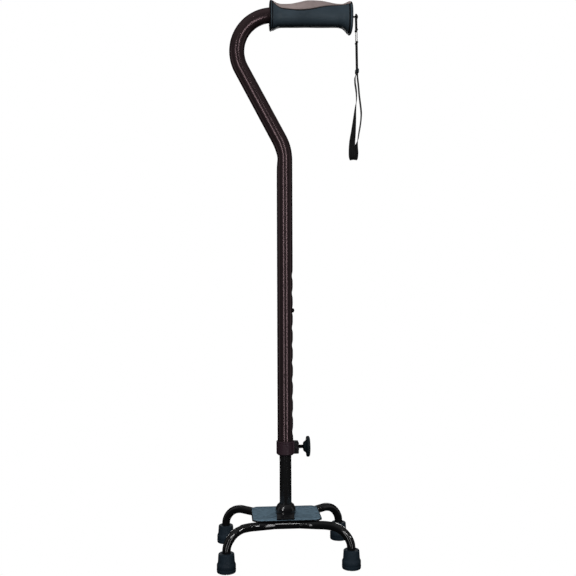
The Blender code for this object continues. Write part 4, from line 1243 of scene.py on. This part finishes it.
TAPE_WIDTH = high("strap_lead", "y") - low("strap_lead", "y")
TAPE_HALF = TAPE_WIDTH / 2
TAPE_THICKNESS = 0.0009
LEAD_HALF = 0.0010
STRAP_X = 0.1067
STRAP_LEAN = 0.0140
RING_WIRE = 0.0006
RING_TOP = high("strap_ring", "z") - RING_WIRE
RING_BOTTOM = low("strap_ring", "z") + RING_WIRE
TAPE_EDGE_POINTS = 5
EYELET_RADIUS = 0.0016
THREAD = 0.00014
TAB_SPAN = (STRAP_X - 0.01, STRAP_X + 0.01)  # along X, well past the tab's two faces
# The loop's route as (x, y, z, twist in degrees), down one strand and up the other.
LOOP_ROUTE = (
    (0.10725, 0.0, 0.7112, 0),
    (0.1071, 0.0, 0.7075, 0),
    (0.1050, 0.0, 0.7020, 0),
    (0.1049, 0.0, 0.6948, 0),
    (0.1061, 0.0, 0.6860, 0),
    (0.1069, -0.0005, 0.6771, 2),
    (0.1067, -0.0010, 0.6667, 6),
    (0.1053, -0.0018, 0.6563, 17),
    (0.1036, -0.0028, 0.6385, 34),
    (0.1017, -0.0036, 0.6207, 52),
    (0.0996, -0.0042, 0.6030, 72),
    (0.0993, -0.0044, 0.5920, 84),
    (0.0997, -0.0038, 0.5846, 88),
    (0.1021, 0.0, 0.5807, 90),
    (0.1046, 0.0038, 0.5846, 88),
    (0.1057, 0.0044, 0.5920, 76),
    (0.1071, 0.0042, 0.6000, 40),
    (0.1092, 0.0034, 0.6090, 8),
    (0.1110, 0.0026, 0.6207, 0),
    (0.1136, 0.0012, 0.6385, 0),
    (0.1141, 0.0006, 0.6475, 0),
    (0.1135, 0.0, 0.6563, 0),
    (0.1122, 0.0, 0.6667, 0),
    (0.1110, 0.0, 0.6771, 0),
    (0.1103, 0.0, 0.6860, 0),
    (0.1094, 0.0, 0.6948, 0),
    (0.1086, 0.0, 0.7020, 0),
    (0.1084, 0.0, 0.7075, 0),
    (0.10835, 0.0, 0.7112, 0),
)


def strap_x(height):
    return STRAP_X + STRAP_LEAN * (GRIP_AXIS - height)


def tape_section(half_width, half_thickness):
    """A webbing's section: flat faces and thicker, round selvedges."""
    flat = half_width - 1.3 * half_thickness
    face = [(w, half_thickness * 0.86) for w in np.linspace(-flat, flat, 13)]
    edge = arc((flat, 0.0), 1.0, math.pi / 2, -math.pi / 2, TAPE_EDGE_POINTS + 1)[1:-1]
    right = [(flat + 1.3 * half_thickness * (w - flat), half_thickness * 1.1 * t) for w, t in edge]
    upper = face + right
    return upper + [(-w, -t) for w, t in upper]


def tape_rings(places, twists):
    """The tape's section at each place, with its width turned by the twist from Y to X."""
    section = tape_section(TAPE_HALF, TAPE_THICKNESS / 2)
    places = [Vector(p) for p in places]
    rings = []
    for i, (place, turn) in enumerate(zip(places, twists)):
        run = (places[min(i + 1, len(places) - 1)] - places[max(i - 1, 0)]).normalized()
        width = Vector((math.sin(turn), math.cos(turn), 0.0))
        width = (width - width.dot(run) * run).normalized()
        thick = run.cross(width).normalized()
        rings.append([place + width * w + thick * t for w, t in section])
    return rings


def make_strap_loop():
    """The webbing loop, twisted so that its lower part lies across the view."""
    stations = smooth_route(LOOP_ROUTE, 260)
    places = [Vector(s[:3]) for s in stations]
    twists = [math.radians(s[3]) for s in stations]
    loop = skin("strap_webbing_loop", tape_rings(places, twists), sharp=80)
    finish_piece(loop, "strap", "webbing", "strap_loop")
    return loop, places


def folded_profile(eye_z, end_z):
    """Outline of webbing folded round the ring's bar, in the XZ plane, and its middle line."""
    eye = RING_WIRE + FIT
    bulge = eye + TAPE_THICKNESS
    length = abs(end_z - eye_z)
    meeting = math.asin(LEAD_HALF / bulge)
    neck = [(length, -LEAD_HALF)] + arc((0, 0), bulge, -meeting, meeting - 2 * math.pi, 28)
    return neck + [(length, LEAD_HALF)], arc((0, 0), eye, 0.0, 2 * math.pi, 28)[:-1]


def folded_strip(name, eye_z, end_z):
    """Two sewn layers of tape with a fold round the ring, seen on edge from the front."""
    strip = filled(name, folded_profile(eye_z, end_z), -TAPE_HALF, TAPE_HALF)
    along = Vector((strap_x(end_z) - strap_x(eye_z), 0.0, end_z - eye_z)).normalized()
    width = Vector((0.0, 1.0, 0.0))
    axes = Matrix((along, width.cross(along), width)).transposed().to_4x4()
    strip.data.transform(Matrix.Translation((strap_x(eye_z), 0.0, eye_z)) @ axes)
    return strip


def lay_tape_map(piece):
    """A UV map in the webbing's own terms: round its section, and along in metres."""
    mesh = piece.data
    layer = mesh.uv_layers.get("surface") or mesh.uv_layers.new(name="surface")
    for loop in mesh.loops:
        place = mesh.vertices[loop.vertex_index].co
        layer.data[loop.index].uv = ((place.y + TAPE_HALF) / (4 * TAPE_HALF), place.z)


def make_tab():
    """The tab under the screw: folded round the ring, with a round crown and an eyelet."""
    crown_top = high("strap_tab", "z")
    tab = folded_strip("strap_sewn_tab", RING_TOP, crown_top)
    cut(tab, cylinder_shape(EYELET_RADIUS, *TAB_SPAN, (0.0, GRIP_AXIS)))
    radius = TAPE_HALF
    centre = crown_top - radius
    shape = bmesh.new()
    crown = [(radius * 2, 0.0), (radius, 0.0)] + arc((0, 0), radius, 0.0, math.pi, 32)
    crown += [(-radius * 2, 0.0), (-radius * 2, radius * 2), (radius * 2, radius * 2)]
    left, right = [[shape.verts.new((x, y, centre + z)) for y, z in crown] for x in TAB_SPAN]
    shape.faces.new(left)
    shape.faces.new(right)
    for i in range(len(crown)):
        j = (i + 1) % len(crown)
        shape.faces.new((left[i], left[j], right[j], right[i]))
    bmesh.ops.recalc_face_normals(shape, faces=shape.faces)
    cut(tab, shape)
    soften_edges(tab, 0.0002)
    lay_tape_map(tab)
    finish_piece(tab, "strap", "webbing", "strap_tab")
    return tab


def make_lead():
    """The sewn double tape between the ring and the slider."""
    lead = folded_strip("strap_sewn_lead", RING_BOTTOM, low("strap_lead", "z"))
    soften_edges(lead, 0.0002)
    lay_tape_map(lead)
    finish_piece(lead, "strap", "webbing", "strap_lead")
    return lead


def stitch(place, run, out, length=0.0013):
    """One stitch: a thread that dips into the tape at both ends."""
    side = run.cross(out)
    turns = np.linspace(0, 2 * math.pi, 6, endpoint=False)
    rings = []
    for t in np.linspace(0.0, 1.0, 7):
        rise = THREAD * (0.9 * math.sin(math.pi * t) ** 0.6 - 0.35)
        centre = place + run * length * (t - 0.5) + out * rise
        radius = THREAD * (0.35 + 0.65 * math.sin(math.pi * t) ** 0.5)
        rings.append([centre + radius * (math.cos(a) * side + math.sin(a) * out) for a in turns])
    return lofted(rings)


def make_stitching():
    """Two rows of stitches down both faces of the tab and the lead, and a bar tack at each fold."""
    shapes = []
    pitch = 0.0019
    row = TAPE_HALF - 0.0016
    tab_run = (RING_TOP + 0.0035, GRIP_AXIS - 0.0035)
    lead_run = (low("strap_slider", "z") + 0.0085, RING_BOTTOM - 0.0035)
    up = Vector((0.0, 0.0, 1.0))
    for first, last in (tab_run, lead_run):
        for face in (-1, 1):
            out = Vector((face, 0.0, 0.0))
            for y in (-row, row):
                for z in np.arange(first, last, pitch):
                    place = Vector((strap_x(z) + face * LEAD_HALF, y, z))
                    shapes.append(stitch(place, up, out))
            tack = first if first == tab_run[0] else last
            for y in np.arange(-row + 0.0006, row, 0.00062):
                place = Vector((strap_x(tack) + face * LEAD_HALF, y, tack))
                shapes.append(stitch(place, up, out, 0.0021))
    stitches = joined("strap_stitching", shapes)
    return finish_piece(stitches, "strap", "webbing", look="nylon")


def make_ring():
    """The plated wire ring between the tab and the lead."""
    half_high = (RING_TOP - RING_BOTTOM) / 2
    half_wide = high("strap_ring", "y") - RING_WIRE
    corner = 0.0022
    centre_z = (RING_TOP + RING_BOTTOM) / 2
    route = []
    for i, (y, z) in enumerate(((1, 1), (-1, 1), (-1, -1), (1, -1))):
        centre = (y * (half_wide - corner), z * (half_high - corner))
        route += arc(centre, corner, i * math.pi / 2, (i + 1) * math.pi / 2, 8)
    wire = [Vector((strap_x(centre_z + z), y, centre_z + z)) for y, z in route]
    rings = []
    for i, place in enumerate(wire):
        run = (wire[(i + 1) % len(wire)] - wire[i - 1]).normalized()
        out = Vector((1.0, 0.0, 0.0)).cross(run).normalized()
        side = run.cross(out)
        turns = np.linspace(0, 2 * math.pi, 16, endpoint=False)
        rings.append([place + RING_WIRE * (math.cos(t) * out + math.sin(t) * side) for t in turns])
    ring = skin("strap_wire_ring", rings, closed=True)
    return finish_piece(ring, "strap", "zinc_steel", "strap_ring")


def make_slider():
    """The moulded keeper: a slot for the tape, and two finger grooves."""
    low_corner, high_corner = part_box("strap_slider")
    slider = object_of("strap_moulded_slider", box_shape(low_corner, high_corner, 0.0006, 4))
    centre = middle("strap_slider")
    slot_x = LEAD_HALF + FIT
    slot_y = TAPE_HALF + FIT
    slot_low = (centre.x - slot_x, -slot_y, low_corner.z - CUT)
    cut(slider, box_shape(slot_low, (centre.x + slot_x, slot_y, high_corner.z + CUT)))
    soften_edges(slider, 0.00015, 2, 50)
    for level in (0.3, 0.7):
        groove_z = low_corner.z + level * (high_corner.z - low_corner.z)
        groove_low = (low_corner.x - CUT, -slot_y * 0.7, groove_z - 0.0003)
        groove = box_shape(groove_low, (low_corner.x + 0.0002, slot_y * 0.7, groove_z + 0.0003))
        cut(slider, groove)
    return finish_piece(slider, "strap", "knob_plastic", "strap_slider")


def make_strap_screw():
    """A pan-head screw with a cross recess."""
    head_front = high("strap_screw", "x")
    back = low("strap_screw", "x")
    head_radius = high("strap_screw", "y")
    head_back = STRAP_X + LEAD_HALF + FIT
    post = 0.0013
    dome = arc((0.0, 0.0), 1.0, math.pi / 2, 0.0, 8)
    rise = head_front - head_back - 0.0004
    head = [(head_radius * x, head_back + 0.0004 + rise * z) for x, z in dome]
    profile = head + [(head_radius, head_back), (post, head_back), (post, back + 0.001)]
    profile += [(0.0006, back), (0.0, back)]
    screw = turned("strap_pan_screw", profile, (0.0, 0.0, GRIP_AXIS), "X", 40)
    for wide, tall in ((0.0018, 0.00035), (0.00035, 0.0018)):
        slot_low = (head_front - 0.0008, -wide, GRIP_AXIS - tall)
        cut(screw, box_shape(slot_low, (head_front + CUT, wide, GRIP_AXIS + tall)))
    return finish_piece(screw, "handle", "black_oxide", "strap_screw")


def make_strap():
    """The wrist strap: its loop and the other pieces on it."""
    loop, path = make_strap_loop()
    tab = make_tab()
    lead = make_lead()
    others = [tab, lead, make_stitching(), make_ring(), make_slider(), make_strap_screw()]


make_strap()

# ---------------------------------------------------------------- stage

FLOOR_HALF = 40.0


def make_floor():
    """A white floor under the tips, which throws no light onto the cane."""
    shape = bmesh.new()
    bmesh.ops.create_grid(shape, x_segments=1, y_segments=1, size=FLOOR_HALF)
    floor = object_of("floor", shape)
    floor.location = (0.0, 0.0, -FIT)
    glow = {"Emission_Color": (1.0, 1.0, 1.0, 1.0), "Emission_Strength": 1.0}
    look = Finish("floor", (0.0, 0.0, 0.0), 0.9, Specular_IOR_Level=0.0, **glow)
    floor.data.materials.append(look.material)
    floor.visible_glossy = False
    floor.visible_diffuse = False


def make_light(name, turn, distance, height, width, tall, power, aim_height, only=(), gloss=True):
    """An area light that faces the shaft. With only, it lights just those pieces."""
    data = bpy.data.lights.new(name, "AREA")
    data.shape = "RECTANGLE"
    data.size, data.size_y = width, tall
    data.energy = power
    light = bpy.data.objects.new(name, data)
    light.location = on_circle(math.radians(turn), distance, height)
    aim = Vector((0.0, 0.0, aim_height)) - light.location
    light.rotation_euler = aim.to_track_quat("-Z", "Y").to_euler()
    light.visible_camera = False
    light.visible_glossy = gloss
    bpy.context.scene.collection.objects.link(light)
    if only:
        lit = bpy.data.collections.new(name + "_lit")
        for piece in only:
            lit.objects.link(piece)
        light.light_linking.receiver_collection = lit


def make_world():
    """White behind the cane, and a soft studio that is brighter above than below."""
    world = bpy.data.worlds.new("studio")
    world.use_nodes = True
    sky = Nodes(world.node_tree)
    sky.tree.nodes.clear()
    direction = sky.node("TexCoord").outputs["Generated"]
    height = sky.scaled(sky.node("SeparateXYZ", Vector=direction).outputs["Z"], 0.0, 1.0, -1.0)
    ray = sky.node("LightPath").outputs

    def glow(*stops):
        return sky.node("Background", Color=sky.ramp(height, *stops), Strength=0.6)

    def mixed(share, first, second):
        mix = sky.node("MixShader")
        for socket, source in zip(mix.inputs, (share, first.outputs[0], second.outputs[0])):
            sky.feed(socket, source)
        return mix

    soft = glow((0.0, 0.02), (0.45, 0.06), (0.6, 0.16), (1.0, 0.35))
    gloss = glow((0.0, 0.010), (0.45, 0.020), (0.7, 0.06), (1.0, 0.35))
    white = sky.node("Background", Color=(1.0, 1.0, 1.0, 1.0))
    lighting = mixed(ray["Is Diffuse Ray"], gloss, soft)
    seen = mixed(ray["Is Camera Ray"], lighting, white)
    sky.node("OutputWorld", Surface=seen.outputs[0])
    bpy.context.scene.world = world


make_floor()
make_world()
# The bars and the hub have highlights of their own, and the plate keeps clear of the back lights.
BARS = [bpy.data.objects[name] for name in ("leg_bar_front", "leg_bar_back", "weld_beads")]
HUB = [bpy.data.objects["hub_cast"]]
REST = [piece for piece in bpy.context.scene.objects if piece.type == "MESH" and piece not in HUB]
BACK = [piece for piece in REST if not piece.name.startswith("base_plate")]
make_light("strip_left", -21.2, 2.2, 0.45, 0.20, 1.9, 6.0, 0.45, REST)
make_light("strip_right", 23.2, 2.2, 0.45, 0.20, 1.9, 6.0, 0.45, REST)
make_light("fill", -8.0, 2.1, 1.6, 0.6, 0.5, 40.0, 0.45, gloss=False)
make_light("bar_light", 6.0, 1.5, 1.20, 1.00, 0.12, 9.0, 0.05, BARS)
make_light("bar_side_light", 60.0, 1.5, 0.80, 0.30, 0.12, 4.0, 0.05, BARS)
make_light("hub_light", -39.5, 1.5, 1.00, 0.10, 1.40, 9.0, 0.07, HUB)
make_light("strip_back_left", 162.0, 2.2, 0.45, 0.20, 1.9, 4.0, 0.45, BACK)
make_light("strip_back_right", 190.0, 2.2, 0.45, 0.20, 1.9, 4.0, 0.45, BACK)
make_light("fill_back", 176.0, 2.1, 0.35, 0.6, 0.5, 22.0, 0.45, BACK, gloss=False)
make_light("side_left", -96.0, 2.2, 0.6, 0.9, 1.8, 1.1, 0.45)
make_light("side_right", 88.0, 2.2, 0.6, 0.9, 1.8, 1.1, 0.45)
bpy.context.scene.view_settings.view_transform = "Standard"
